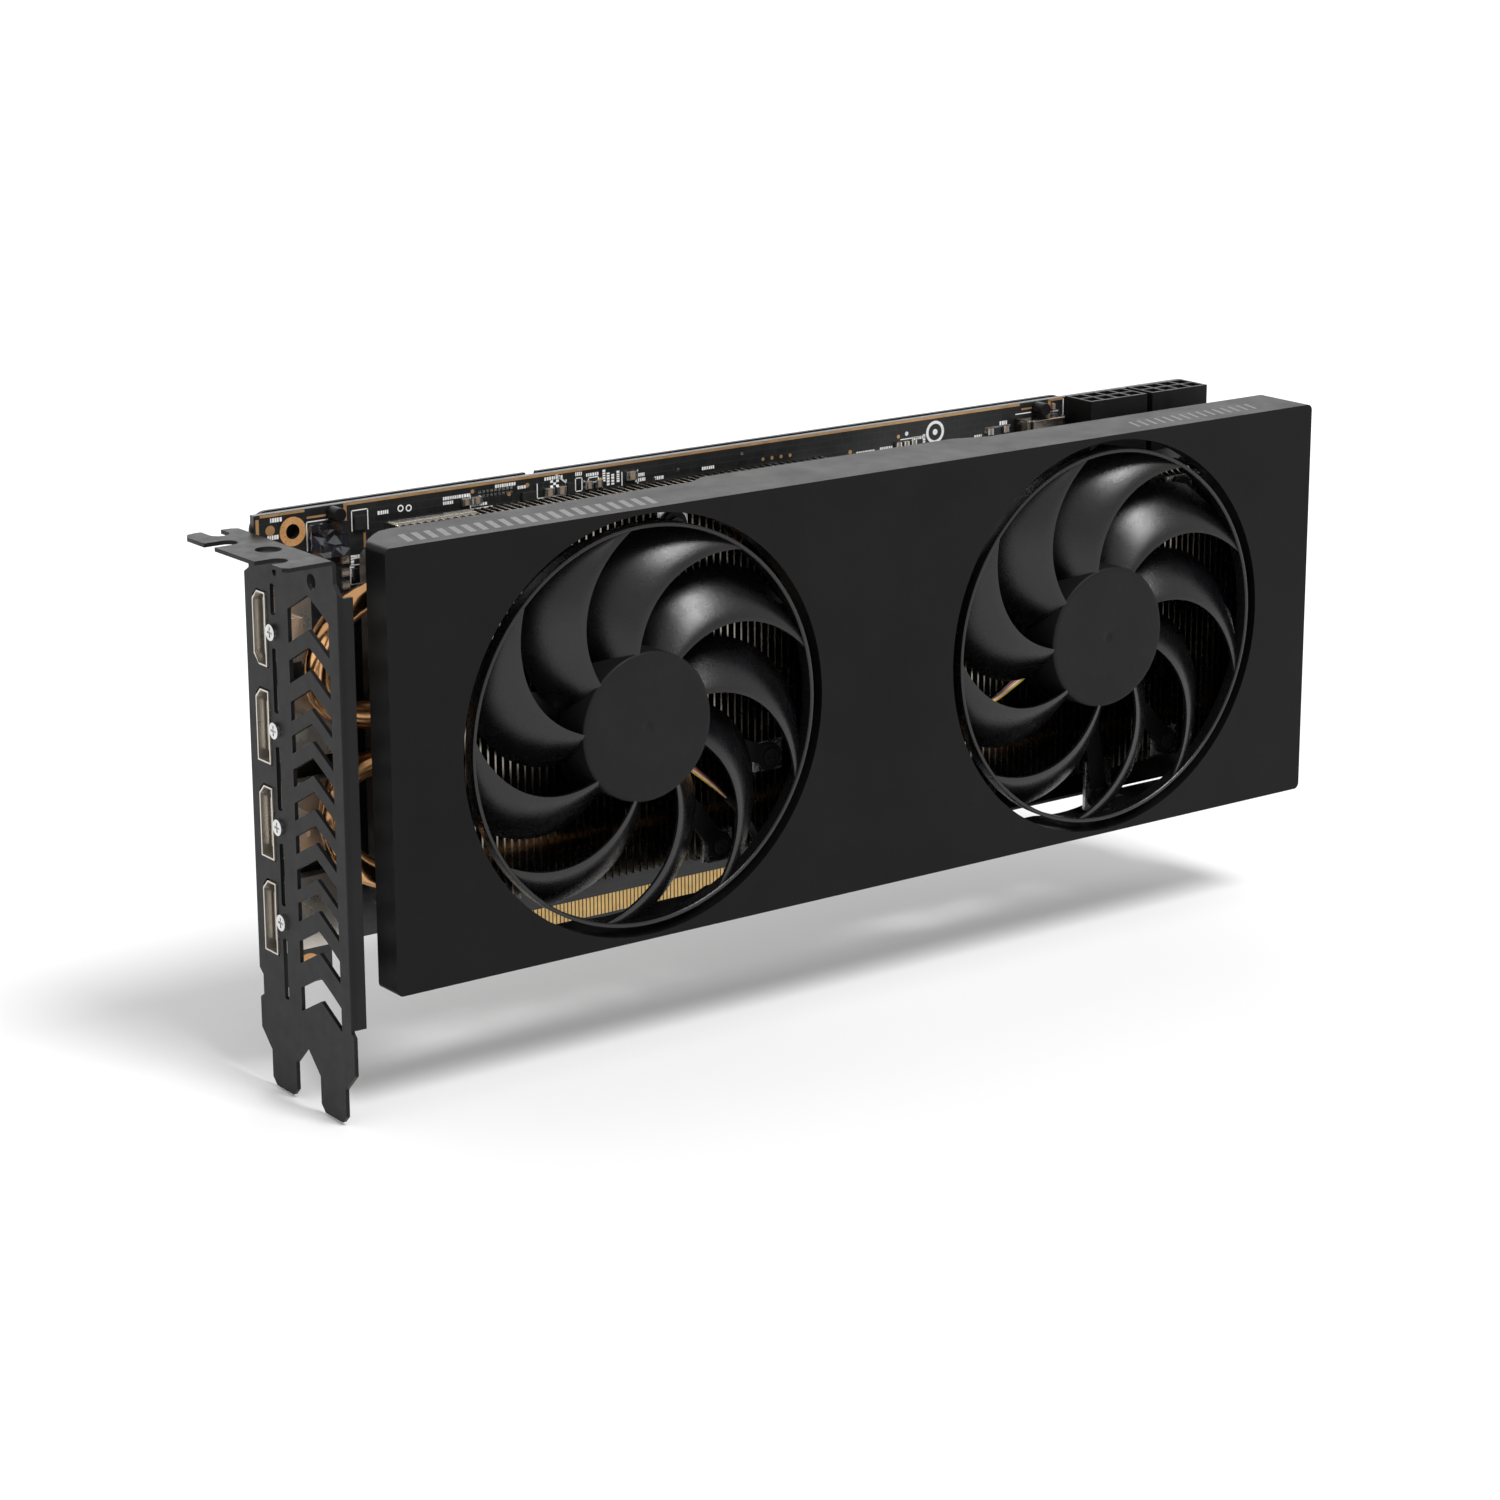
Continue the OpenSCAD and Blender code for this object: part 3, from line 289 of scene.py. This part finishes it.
def box(bm, x0, x1, y0, y1, z0, z1, mat=0, bevel=0.0, segments=2):
    made = bmesh.ops.create_cube(bm, size=1)
    for v in made["verts"]:
        v.co = Vector((x0 + (v.co.x + 0.5) * (x1 - x0), y0 + (v.co.y + 0.5) * (y1 - y0),
                       z0 + (v.co.z + 0.5) * (z1 - z0))) * MM
    faces = {f for v in made["verts"] for f in v.link_faces}
    for f in faces:
        f.material_index = mat
    if bevel:
        edges = list(set(e for f in faces for e in f.edges))
        made = bmesh.ops.bevel(bm, geom=edges, offset=bevel * MM, segments=segments, profile=0.5,
                               affect="EDGES", clamp_overlap=True)
        for f in made["faces"]:
            f.material_index = mat


def circle(steps):
    """The angles of evenly spaced points round a circle."""
    return [2 * math.pi * i / steps for i in range(steps)]


def heading(pts, i):
    """The direction of a line of points at its point i."""
    return (pts[min(i + 1, len(pts) - 1)] - pts[max(i - 1, 0)]).normalized()


def skin_rings(bm, rings, mat=0):
    """Joins rings of equal count side by side and closes the first and the last."""
    count = len(rings[0])
    for a, b in zip(rings, rings[1:]):
        for k in range(count):
            n = (k + 1) % count
            bm.faces.new((a[k], a[n], b[n], b[k])).material_index = mat
    for end in (rings[0], rings[-1]):
        bm.faces.new(end).material_index = mat


def revolve(bm, profile, x, z, steps=96, mat=0, closed=True):
    """Turns a profile of (radius, y) points about the line parallel to Y through (x, z)."""
    rings = []
    for r, y in profile:
        if r < 1e-6:
            rings.append([bm.verts.new((x * MM, y * MM, z * MM))])
        else:
            rings.append([bm.verts.new(((x + r * math.cos(t)) * MM, y * MM, (z + r * math.sin(t)) * MM))
                          for t in circle(steps)])
    count = len(rings) if closed else len(rings) - 1
    for k in range(count):
        a, b = rings[k], rings[(k + 1) % len(rings)]
        for i in range(steps):
            j = (i + 1) % steps
            loop = [a[i % len(a)], a[j % len(a)], b[j % len(b)], b[i % len(b)]]
            loop = [v for n, v in enumerate(loop) if v not in loop[:n]]
            if len(loop) > 2:
                bm.faces.new(loop).material_index = mat


def tube(bm, pts, radius, sides=12, mat=0):
    """Sweeps a round section along points, given in millimetres, with capped ends."""
    up = Vector((0, 0, 1))
    rings = []
    for i, p in enumerate(pts):
        along = heading(pts, i)
        side = along.cross(up)
        if side.length < 1e-3:
            side = along.cross(Vector((0, 1, 0)))
        side.normalize()
        up = side.cross(along).normalized()
        rings.append([bm.verts.new((p + side * radius * math.cos(a) + up * radius * math.sin(a)) * MM)
                      for a in circle(sides)])
    skin_rings(bm, rings, mat)


# ---------------------------------------------------------------- fans

BLADES = 9
HUB_R = 16.5
RING_R = 44.0
BLADE_FRONT = -35.75
BLADE_REAR = -27.15
ROOT_INTO_HUB = 0.6  # how far a blade reaches into the hub
TIP_INTO_RING = 0.5  # how far a blade reaches into the ring
DOTS_R = 11.6  # the three raised dots on the hub's face
DOTS_FROM = 197
NUDGE = 0.01  # step used to find the blade's slope


def blade_section(s, u):
    """Angle in degrees and depth in mm at radial share s and chord share u."""
    lead = 101.6 - 27 * s - 16 * s ** 2.5
    chord = 29.0 - 3.0 * s
    depth = BLADE_FRONT + (BLADE_REAR - BLADE_FRONT) * (0.9 * u ** 1.45 + 0.1 * u)
    return lead + chord * u, depth


def add_blade(bm, cx, cz, phase):
    radial, chord = 22, 14
    r0 = HUB_R - ROOT_INTO_HUB
    r1 = RING_R - TIP_INTO_RING

    def point(s, u):
        r = r0 + (r1 - r0) * s
        deg, y = blade_section(s, u)
        a = math.radians(deg + phase)
        return Vector((cx + r * math.cos(a), y, cz + r * math.sin(a)))

    loops = []
    for i in range(radial + 1):
        s = i / radial
        front, back = [], []
        for j in range(chord + 1):
            u = j / chord
            p = point(s, u)
            along = point(s, min(1, u + NUDGE)) - point(s, max(0, u - NUDGE))
            across = point(min(1, s + NUDGE), u) - point(max(0, s - NUDGE), u)
            n = along.cross(across).normalized()
            if n.y > 0:
                n = -n
            half = 0.22 + 0.55 * math.sqrt(max(0.0, min(1, u * 9 + 0.12))) * (1 - 0.75 * u)
            front.append(p + n * half * 0.5)
            back.append(p - n * half)
        loops.append([bm.verts.new(v * MM) for v in front + back[::-1]])
    skin_rings(bm, loops)


def build_fan(side, cx, cz, phase):
    bm = bmesh.new()
    for k in range(BLADES):
        add_blade(bm, cx, cz, phase + 360 / BLADES * k)
    ring = [(RING_R - 0.9, -36.05), (RING_R - 0.72, -36.26), (RING_R - 0.35, -36.3), (RING_R - 0.08, -36.15),
            (RING_R, -35.8), (RING_R, -33.2), (RING_R - 0.15, -33.02), (RING_R - 0.75, -33.02),
            (RING_R - 0.9, -33.2)]
    revolve(bm, ring, cx, cz, 160)
    hub = [(0, -35.72), (0.75, -35.74), (1.05, -35.9), (1.25, -36.0), (1.6, -36.04), (HUB_R - 1.1, -36.05),
           (HUB_R - 0.55, -36.0), (HUB_R - 0.2, -35.83), (HUB_R, -35.5), (HUB_R, -26.5), (HUB_R - 1.2, -26.5),
           (HUB_R - 1.2, -34.5), (3.2, -34.5), (3.2, -33.8), (1.55, -33.8), (1.55, -35.2), (0, -35.2)]
    revolve(bm, hub, cx, cz, 128, mat=1, closed=False)
    for k in range(3):
        a = math.radians(DOTS_FROM + 120 * k)
        spot = [(0, -36.075), (1.15, -36.075), (1.3, -36.04), (1.3, -35.9), (0, -35.9)]
        revolve(bm, spot, cx + DOTS_R * math.cos(a), cz + DOTS_R * math.sin(a), 32, mat=1, closed=False)
    name = "impeller_" + side
    finish_object(name + ".moulding", bm, [M["fan"], M["hub"]], "fan_" + side, (name,), 38)


for side, phase in [("left", -4.7), ("right", 0)]:
    lo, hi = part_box("fan_shaft_" + side)
    build_fan(side, (lo.x + hi.x) / 2 / MM, (lo.z + hi.z) / 2 / MM, phase)

# ---------------------------------------------------------------- carried-over pieces

refine("shroud", M["shroud"], 0.5, 3)
# the bracket's rounded edges take a lighter colour: a painted highlight
refine("bracket", M["bracket"], 0.12, 2, edge=M["bracket_edge"])
refine("backplate", M["backplate"], 0.18, 2)
for node, mat, slot, width in [
        ("power_sockets", "plastic", "connector", 0.18), ("hdmi_port", "shell", "port_shell", 0.08),
        ("display_ports", "shell", "port_shell", 0.08), ("port_tongues", "shell", "port_shell", 0.08),
        ("port_blocks", "shell", "steel", 0.15), ("bracket_screws", "screw", "steel", 0.12),
        ("backplate_screws", "black_screw", "black_screw", 0.12), ("clamp_screws", "screw", "steel", 0.15),
        ("clamp_frame", "steel", "steel", 0.15), ("shroud_screws", "black_screw", "black_screw", 0.12),
        ("chokes", "choke", "choke", 0.35), ("input_choke", "coil", "choke", 0.3),
        ("stiffener", "bracket", "bracket_coat", 0.15),
        ("can_capacitors", "can", "can", 0.3), ("memory_chips", "chip", "chip", 0.1),
        ("power_stages", "chip", "chip", 0.08), ("control_chips", "chip", "chip", 0.07),
        ("ceramic_capacitors", "ceramic", "ceramic", 0.08), ("edge_posts", "plastic", "connector", 0.25),
        ("fan_plugs", "plastic", "connector", 0.2), ("fan_headers", "plastic", "connector", 0.2),
        ("fan_frame_left", "frame_black", "frame_plastic", 0.12),
        ("fan_frame_right", "frame_black", "frame_plastic", 0.12),
        ("fan_screws", "black_screw", "black_screw", 0.1), ("base_plate", "plate", "plate_metal", 0.2),
        ("vrm_plate", "plate", "plate_metal", 0.2), ("cold_plate", "copper", "copper", 0.2),
        ("processor_package", "package", "package", 0.08), ("processor_die", "silicon", "silicon", 0.03),
        ("circuit_board", "board", "board_mask", 0.06), ("shroud_posts", "steel", "steel", 0.15),
        ("fan_tabs", "steel", "steel", 0.1),
        # the fins take the darkened aluminium: painted shade
        ("fins_left", "aluminium", "fin_aluminium", 0), ("fins_right", "aluminium", "fin_aluminium", 0),
        ("stator_left", "winding", "winding", 0.1), ("stator_right", "winding", "winding", 0.1)]:
    refine(node, M[mat], width)
# the edge contacts and power pins take the gold darkened as painted shade
for node, mat in [("edge_contacts", "gold"), ("hole_rings", "ring"), ("thermal_pads", "pad"),
                  ("magnet_left", "magnet"), ("magnet_right", "magnet"), ("fan_shaft_left", "steel"),
                  ("fan_shaft_right", "steel"), ("bearing_left", "bronze"), ("bearing_right", "bronze"),
                  ("power_pins", "gold"), ("backplate_spacers", "steel")]:
    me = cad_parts[node].data
    me.materials.clear()
    me.materials.append(M[mat])

# ---------------------------------------------------------------- heat pipes

PIPE_R = 3.0
PIPE_SIDES = 20
BEND_X = 22.0  # where the two looped pipes start to turn back
BEND_STEPS = 28
PLATE_REACH = 81.5  # how far the looped pipes run back over the cold plate
fins_left_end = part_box("fins_left")[1].x / MM
fins_right_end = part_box("fins_right")[1].x / MM


def swept(bm, stations):
    """A round tube whose radius changes from station to station."""
    rings = []
    pts = [Vector(p) for p, _ in stations]
    for i, (_, r) in enumerate(stations):
        along = heading(pts, i)
        side = along.cross(Vector((0, 0.83, -0.55)))
        side = (side if side.length > 0.05 else along.cross(Vector((0, 1, 0)))).normalized()
        up = side.cross(along).normalized()
        rings.append([bm.verts.new((pts[i] + side * r * math.cos(a) + up * r * math.sin(a)) * MM)
                      for a in circle(PIPE_SIDES)])
    skin_rings(bm, rings)


bm = bmesh.new()
lo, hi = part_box("heat_pipes")
far_y = lo.y / MM + PIPE_R
near_y = hi.y / MM - PIPE_R
for z_far, z_near, end in [(88, 60, fins_left_end), (27, 49.5, fins_right_end)]:
    far = Vector((BEND_X, far_y, z_far))
    near = Vector((BEND_X, near_y, z_near))
    mid = (far + near) / 2
    arm = (far - near) / 2
    tip = [(0.3, 1.2), (0.5, 2.2), (1.0, 2.8), (1.8, PIPE_R)]
    stations = [((end - dx, far_y, z_far), r) for dx, r in tip]
    run = end - 6 - BEND_X
    stations += [((end - 4 - run * k / 12, far_y, z_far), PIPE_R) for k in range(13)]
    for k in range(1, BEND_STEPS):
        a = math.pi * k / BEND_STEPS
        out = Vector((-arm.length * math.sin(a), 0, 0))
        stations.append((mid + arm * math.cos(a) + out, PIPE_R))
    stations += [((BEND_X + PLATE_REACH * k / 8, near_y, z_near), PIPE_R) for k in range(9)]
    swept(bm, stations)
for z in (66.8, 42.7):
    tip = [(0.1, 1.2), (0.3, 2.2), (0.9, 2.8), (1.8, PIPE_R)]
    run = fins_right_end - 50.5
    stations = [((44.1 + dx, near_y, z), r) for dx, r in tip]
    stations += [((48 + run * k / 12, near_y, z), PIPE_R) for k in range(13)]
    stations += [((fins_right_end - dx, near_y, z), r) for dx, r in tip[::-1]]
    swept(bm, stations)
finish_object("heat_pipes.drawn", bm, [M["pipe"]], "card", ("heat_pipes",), 45)

# ---------------------------------------------------------------- fan leads

LEAD_Y = -24.95
WIRE_R = 0.3
SLEEVE_R = 0.89
WIRE_PITCH = 0.62
BARE = 12  # points along the lead before the sleeve begins
TWIST = 0.12  # turn of the flat of wires, in radians from point to point
bm = bmesh.new()
for route, ref in [([(88.9, LEAD_Y, 43.2), (103, LEAD_Y, 31.5), (110.2, LEAD_Y, 22), (112.4, LEAD_Y, 15),
                     (113.5, -19, 12.6), (113.5, -9.2, 12.6)], Vector((0.87, 0, 0.5))),
                   ([(187.4, LEAD_Y, 45.4), (178, LEAD_Y, 40.2), (163, LEAD_Y, 36.4), (156.4, LEAD_Y, 35.6),
                     (151.5, -19, 34), (151.5, -9.2, 34)], Vector((0, 0, 1)))]:
    pts = [Vector(p) for p in route]
    for _ in range(3):
        cut = [pts[0]]
        for a, b in zip(pts, pts[1:]):
            cut += [a * 0.75 + b * 0.25, a * 0.25 + b * 0.75]
        pts = cut + [pts[-1]]
    for w in range(4):
        line = []
        for i, p in enumerate(pts):
            along = heading(pts, i)
            side = along.cross(ref).normalized()
            up = side.cross(along)
            off = (w - 1.5) * WIRE_PITCH * (1.0 if i < BARE else 0.6)
            turn = i * TWIST
            line.append(p + (side * math.sin(turn) * 0.35 + up * math.cos(turn)) * off * 0.85)
        tube(bm, line, WIRE_R, 8, mat=1 + w)
    tube(bm, pts[BARE:], SLEEVE_R, 12)
lead_finishes = [M[key] for key in ("sleeve", "wire_yellow", "wire_white", "wire_orange", "wire_black")]
finish_object("fan_leads.wires", bm, lead_finishes, "card", ("fan_leads",), 50)

# ---------------------------------------------------------------- printing and small parts on the board

BOARD = -0.785  # the board's front face
SINK = 0.02  # how far a mark reaches into the board, so that no gap shows
SILK, SOLDER, COPPER = 0, 1, 2
bm = bmesh.new()


def patch(x0, x1, z0, z1, mat=SILK, lift=0.03):
    box(bm, x0, x1, BOARD - lift, BOARD + SINK, z0, z1, mat)


def label(x0, x1, z, h, upright=False):
    """A generic printed mark: a row of plain blocks of uneven width, no letters."""
    at = x0
    while at < x1 - 0.2:
        w = random.uniform(0.28, 0.55)
        if upright:
            patch(z, z + h, at, min(at + w, x1))
        else:
            patch(at, min(at + w, x1), z, z + h)
        at += w + random.uniform(0.12, 0.2)


def outline(x0, x1, z0, z1, w, sides):
    if "l" in sides:
        patch(x0, x0 + w, z0, z1)
    if "r" in sides:
        patch(x1 - w, x1, z0, z1)
    if "t" in sides:
        patch(x0, x1, z1 - w, z1)
    if "b" in sides:
        patch(x0, x1, z0, z0 + w)


def disc(x, z, r, inner=0.0, mat=SILK):
    """A flat round mark, or a ring where an inner radius is given."""
    low = BOARD + SINK
    high = BOARD - 0.04
    revolve(bm, [(inner, low), (inner, high), (r, high), (r, low)], x, z, 28, mat, closed=inner > 0)


for x0, x1, z, h in [(46.5, 53.3, 100.9, 0.7), (46.5, 49.2, 99.9, 0.7), (59.6, 64.9, 101.9, 0.7),
                     (65.3, 67.4, 100.9, 0.7), (72.2, 77.0, 101.9, 0.7), (80.2, 82.0, 101.9, 0.8),
                     (83.0, 86.3, 101.4, 0.7), (95.9, 98.6, 99.7, 0.75), (95.9, 98.6, 98.6, 0.75),
                     (101.0, 103.8, 98.4, 0.75), (113.9, 117.4, 99.0, 0.7), (30.4, 33.0, 99.9, 0.8),
                     (4.8, 7.6, 101.6, 0.9), (4.0, 7.0, 98.0, 0.9), (53.6, 57.6, 98.6, 0.6),
                     (199.6, 202.0, 99.0, 0.9), (192.0, 194.5, 97.0, 0.5),
                     (157.2, 162.4, 97.4, 0.4), (173.4, 177.2, 98.6, 0.7), (164.0, 168.0, 97.3, 0.7),
                     (27.4, 28.9, 93.6, 0.6), (24.4, 26.6, 91.3, 0.8)]:
    label(x0, x1, z, h)
for x, z0, z1 in [(87.3, 99.8, 102.4), (88.4, 98.8, 101.6), (89.6, 98.8, 101.2), (91.0, 99.2, 101.9),
                  (23.6, 87.6, 92.4), (176.6, 97.6, 99.6)]:
    label(z0, z1, x, 0.75, upright=True)
for x0, x1, z0, z1, sides in [(53.2, 58.9, 98.0, 101.1, "lb"), (70.2, 77.9, 98.1, 101.5, "lbr"),
                              (80.1, 82.0, 98.4, 101.5, "lrtb"), (83.5, 86.3, 99.9, 101.2, "lrtb"),
                              (24.0, 28.1, 97.2, 101.7, "lrt"), (13.2, 18.4, 94.4, 100.7, "lt"),
                              (23.3, 26.2, 85.8, 90.1, "ltb"), (92.3, 96.7, 98.2, 101.3, "lr"),
                              (204.4, 209.2, 100.9, 101.1, "t"), (213.6, 217.6, 100.3, 100.6, "tb"),
                              (219.0, 219.3, 98.6, 103.2, "l"), (155.0, 168.0, 97.1, 97.3, "t"),
                              (195.2, 202.9, 98.6, 98.85, "tb"), (170.0, 176.0, 99.0, 99.2, "t")]:
    outline(x0, x1, z0, z1, 0.22, sides)
for i in range(9):
    for j in range(2):
        patch(55.4 + i, 56.0 + i, 100.3 + j * 0.95, 100.85 + j * 0.95, SOLDER, 0.08)
for i in range(3):
    for j in range(3):
        if (i + j) % 2 == 0:
            patch(73.7 + i * 0.75, 74.4 + i * 0.75, 100.1 + j * 0.55, 100.65 + j * 0.55)
            patch(82.2 + i * 0.5, 82.65 + i * 0.5, 98.9 + j * 0.6, 99.45 + j * 0.6, SOLDER)
for x, z, r, m in [(67.8, 101.5, 0.5, 2), (79.1, 99.1, 0.55, 2), (53.9, 101.9, 0.45, 2),
                   (63.1, 100.2, 0.5, 2), (86.7, 100.4, 0.45, 2), (107.4, 100.0, 0.4, 1),
                   (124.9, 101.4, 0.4, 1),
                   (155.4, 98.0, 0.5, 2), (169.4, 99.9, 0.45, 2), (215.9, 102.2, 0.35, 1),
                   (195.4, 97.9, 0.4, 1), (4.7, 99.95, 1.1, 2), (101.0, 98.7, 0.35, 1),
                   (171.8, 100.3, 0.5, 1)]:
    disc(x, z, r, mat=m)
for x, z, r in [(36.0, 100.6, 0.75), (38.0, 100.4, 0.75)]:
    disc(x, z, r, r - 0.28)
disc(180.2, 99.7, 2.65, 1.95)
disc(180.2, 99.7, 0.7)
for i in range(4):
    disc(130.7 + i * 2.53, 99.4, 0.42, mat=COPPER)
for k in range(14):
    x = 75.2 + 2.8 * k / 13
    z = 102.9 - 2.3 * k / 13
    patch(x - 0.16, x + 0.16, z - 0.16, z + 0.16)
# bare copper along the upper edge and down the left edge
for x0, x1, z0, z1 in [(2.4, 12.9, 102.85, 103.4), (22.2, 205.7, 102.9, 103.45),
                       (1.35, 2.1, 90.5, 102.6), (22.2, 22.95, 99.6, 102.9),
                       (13.4, 18.6, 101.3, 101.75), (214.6, 219.0, 102.95, 103.45),
                       (214.4, 215.2, 100.8, 103.1), (206.2, 209.6, 101.8, 102.2), (26.8, 27.4, 93.4, 96.6),
                       (13.9, 14.5, 94.4, 99.2)]:
    patch(x0, x1, z0, z1, COPPER, 0.035)
finish_object("board_marks", bm, [M["silk"], M["solder"], M["trace"]], "card", (), 30)

# end caps on the ceramic parts: rows of (count, step, box of the first, way the caps face)
CAP_SHARE = 0.26
PROUD = 0.06
WIDER = 0.05
bm = bmesh.new()
for count, step, (x0, x1, z0, z1), way in [
        (4, -2.7, (21.0, 22.8, 90.8, 92.3), "z"), (2, 2.7, (51, 53.1, 99.2, 100.7), "x"),
        (2, 3.1, (72, 74.3, 98.5, 100.2), "x"), (2, 2.6, (82.6, 84.3, 98.8, 100.4), "x"),
        (1, 0, (93.4, 96.1, 99.3, 101.2), "x"), (3, 2.2, (168.4, 169.8, 97.6, 98.7), "x"),
        (2, 4.8, (195.6, 197.2, 97.2, 98.6), "x")]:
    for k in range(count):
        low, high = (x0 + step * k, x1 + step * k) if way == "x" else (z0 + step * k, z1 + step * k)
        cap = CAP_SHARE * (high - low)
        for a, b in [(low - PROUD, low + cap), (high - cap, high + PROUD)]:
            if way == "x":
                box(bm, a, b, BOARD - 0.86, BOARD, z0 - WIDER, z1 + WIDER, 0, 0.07, 2)
            else:
                box(bm, x0 - WIDER, x1 + WIDER, BOARD - 0.86, BOARD, a, b, 0, 0.07, 2)
finish_object("ceramic_ends", bm, [M["solder"]], "card", (), 35)

# clear black film over the upper corner parts: sharp creases, pushed inward only
lo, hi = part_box("film_cover")
lo, hi = lo / MM, hi / MM
bm = bmesh.new()
cols = 6
rows = 5
DEEPEST = 1.9
RIM_SHARE = 0.15
SWAY = 0.35
FOLD = 0.5
front = [[None] * (rows + 1) for _ in range(cols + 1)]
for i in range(cols + 1):
    for j in range(rows + 1):
        rim = i in (0, cols) or j in (0, rows)
        sink = random.uniform(0.0, DEEPEST) * (RIM_SHARE if rim else 1.0)
        sway = 0.0 if rim else SWAY
        front[i][j] = bm.verts.new(Vector((
            lo.x + (hi.x - lo.x) * (i + random.uniform(-sway, sway)) / cols,
            lo.y + sink,
            lo.z + (hi.z - lo.z) * (j + random.uniform(-sway, sway)) / rows)) * MM)
for i in range(cols):
    for j in range(rows):
        a, b, c, d = front[i][j], front[i + 1][j], front[i + 1][j + 1], front[i][j + 1]
        if random.random() < 0.5:
            bm.faces.new((a, b, c))
            bm.faces.new((a, c, d))
        else:
            bm.faces.new((a, b, d))
            bm.faces.new((b, c, d))
rim = [front[i][0] for i in range(cols)]
rim += [front[cols][j] for j in range(rows)]
rim += [front[i][rows] for i in range(cols, 0, -1)]
rim += [front[0][j] for j in range(rows, 0, -1)]
folds = [rim]
for y in (lo.y + (hi.y - lo.y) * 0.45, hi.y):
    folds.append([bm.verts.new((
        min(max(v.co.x + random.uniform(-FOLD, FOLD) * MM, lo.x * MM), hi.x * MM), y * MM,
        min(max(v.co.z + random.uniform(-FOLD, FOLD) * MM, lo.z * MM), hi.z * MM))) for v in rim])
for a, b in zip(folds, folds[1:]):
    for k in range(len(rim)):
        n = (k + 1) % len(rim)
        bm.faces.new((a[k], a[n], b[n], b[k]))
finish_object("film_cover.creased", bm, [M["film"]], "card", ("film_cover",), 12)

# folded strip along the rear top edge of the left fins
bm = bmesh.new()
box(bm, 28.8, 49.5, -10.6, -6.45, 97.9, 99.85, 0, 0.7, 4)
# the strip takes the fins' aluminium, darkened as painted shade
finish_object("fin_strip", bm, [M["aluminium"]], "card", (), 35)

# plain slanted bars printed on the shroud's top, in place of lettering
SLANT = 1.6
bm = bmesh.new()
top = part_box("shroud")[1].z / MM
for x0, count, pitch, width, y0, y1 in [(18.0, 21, 3.0, 1.5, -33.2, -26.6),
                                        (215.0, 15, 2.6, 0.8, -32.2, -26.6)]:
    for k in range(count):
        x = x0 + k * pitch
        bar = [(x, y0), (x + width, y0), (x + width + SLANT, y1), (x + SLANT, y1)]
        under = [bm.verts.new((px * MM, py * MM, (top - 0.02) * MM)) for px, py in bar]
        over = [bm.verts.new((px * MM, py * MM, (top + 0.012) * MM)) for px, py in bar]
        bm.faces.new(over)
        bm.faces.new(under)
        for n in range(4):
            bm.faces.new((under[n], under[(n + 1) % 4], over[(n + 1) % 4], over[n]))
finish_object("shroud_print", bm, [M["print"]], "card", (), 30)

# ---------------------------------------------------------------- stage, light, camera

FLOOR_HALF = 7  # metres
FLOOR_GAP = 0.0006
WORLD_STRENGTH = 0.7
SUN_ENERGY = 2.3
SUN_SPREAD = 20  # degrees
SUN_WAY = (-0.1, 0.55, -0.8)

bm = bmesh.new()
bmesh.ops.create_grid(bm, x_segments=1, y_segments=1, size=FLOOR_HALF)
me = bpy.data.meshes.new("floor")
bm.to_mesh(me)
bm.free()
floor = bpy.data.objects.new("floor", me)
bpy.context.scene.collection.objects.link(floor)
floor.location = (0.13, 0, cad_box[0][2] - FLOOR_GAP)
mat, nt, bsdf = node_tree("floor_pale")
nt.links.new(ramp(nt, noise(nt, 3, 2), [(0.3, (0.86, 0.86, 0.86)), (0.7, (0.88, 0.88, 0.88))]),
             bsdf.inputs["Base Color"])
bsdf.inputs["Roughness"].default_value = 0.9
bsdf.inputs["Specular IOR Level"].default_value = 0.1
me.materials.append(mat)

world = bpy.data.worlds.new("studio")
bpy.context.scene.world = world
world.use_nodes = True
backdrop = world.node_tree.nodes["Background"]
backdrop.inputs["Color"].default_value = (1, 1, 1, 1)
backdrop.inputs["Strength"].default_value = WORLD_STRENGTH
bpy.context.scene.view_settings.view_transform = "Standard"


def light(name, kind, energy, way, loc=(0, 0, 0)):
    data = bpy.data.lights.new(name, kind)
    data.energy = energy
    obj = bpy.data.objects.new(name, data)
    obj.location = loc
    obj.rotation_euler = way.to_track_quat("-Z", "Y").to_euler()
    bpy.context.scene.collection.objects.link(obj)
    return data


light("key_top", "SUN", SUN_ENERGY, Vector(SUN_WAY)).angle = math.radians(SUN_SPREAD)
rim_from = Vector((0.75, 1.15, 0.62))
rim_light = light("rim_back", "AREA", 3.2, Vector((0.13, 0, 0.1)) - rim_from, rim_from)
rim_light.shape = "RECTANGLE"
rim_light.size = 1.2
rim_light.size_y = 0.4

cam_data = bpy.data.cameras.new("camera")
cam_data.sensor_width = 36
cam_data.lens = 93.21
cam_data.clip_start = 0.01
cam_data.clip_end = 60
cam = bpy.data.objects.new("camera", cam_data)
bpy.context.scene.collection.objects.link(cam)
right = Vector((0.806317689, -0.591472592, -0.003457922))
up = Vector((0.163876380, 0.217777482, 0.962142142))
back = Vector((-0.568327649, -0.776358900, 0.272526223))
turn = Matrix((right, up, back)).transposed().to_4x4()
cam.matrix_world = Matrix.Translation((-0.377053, -0.689113, 0.273940)) @ turn
bpy.context.scene.camera = cam
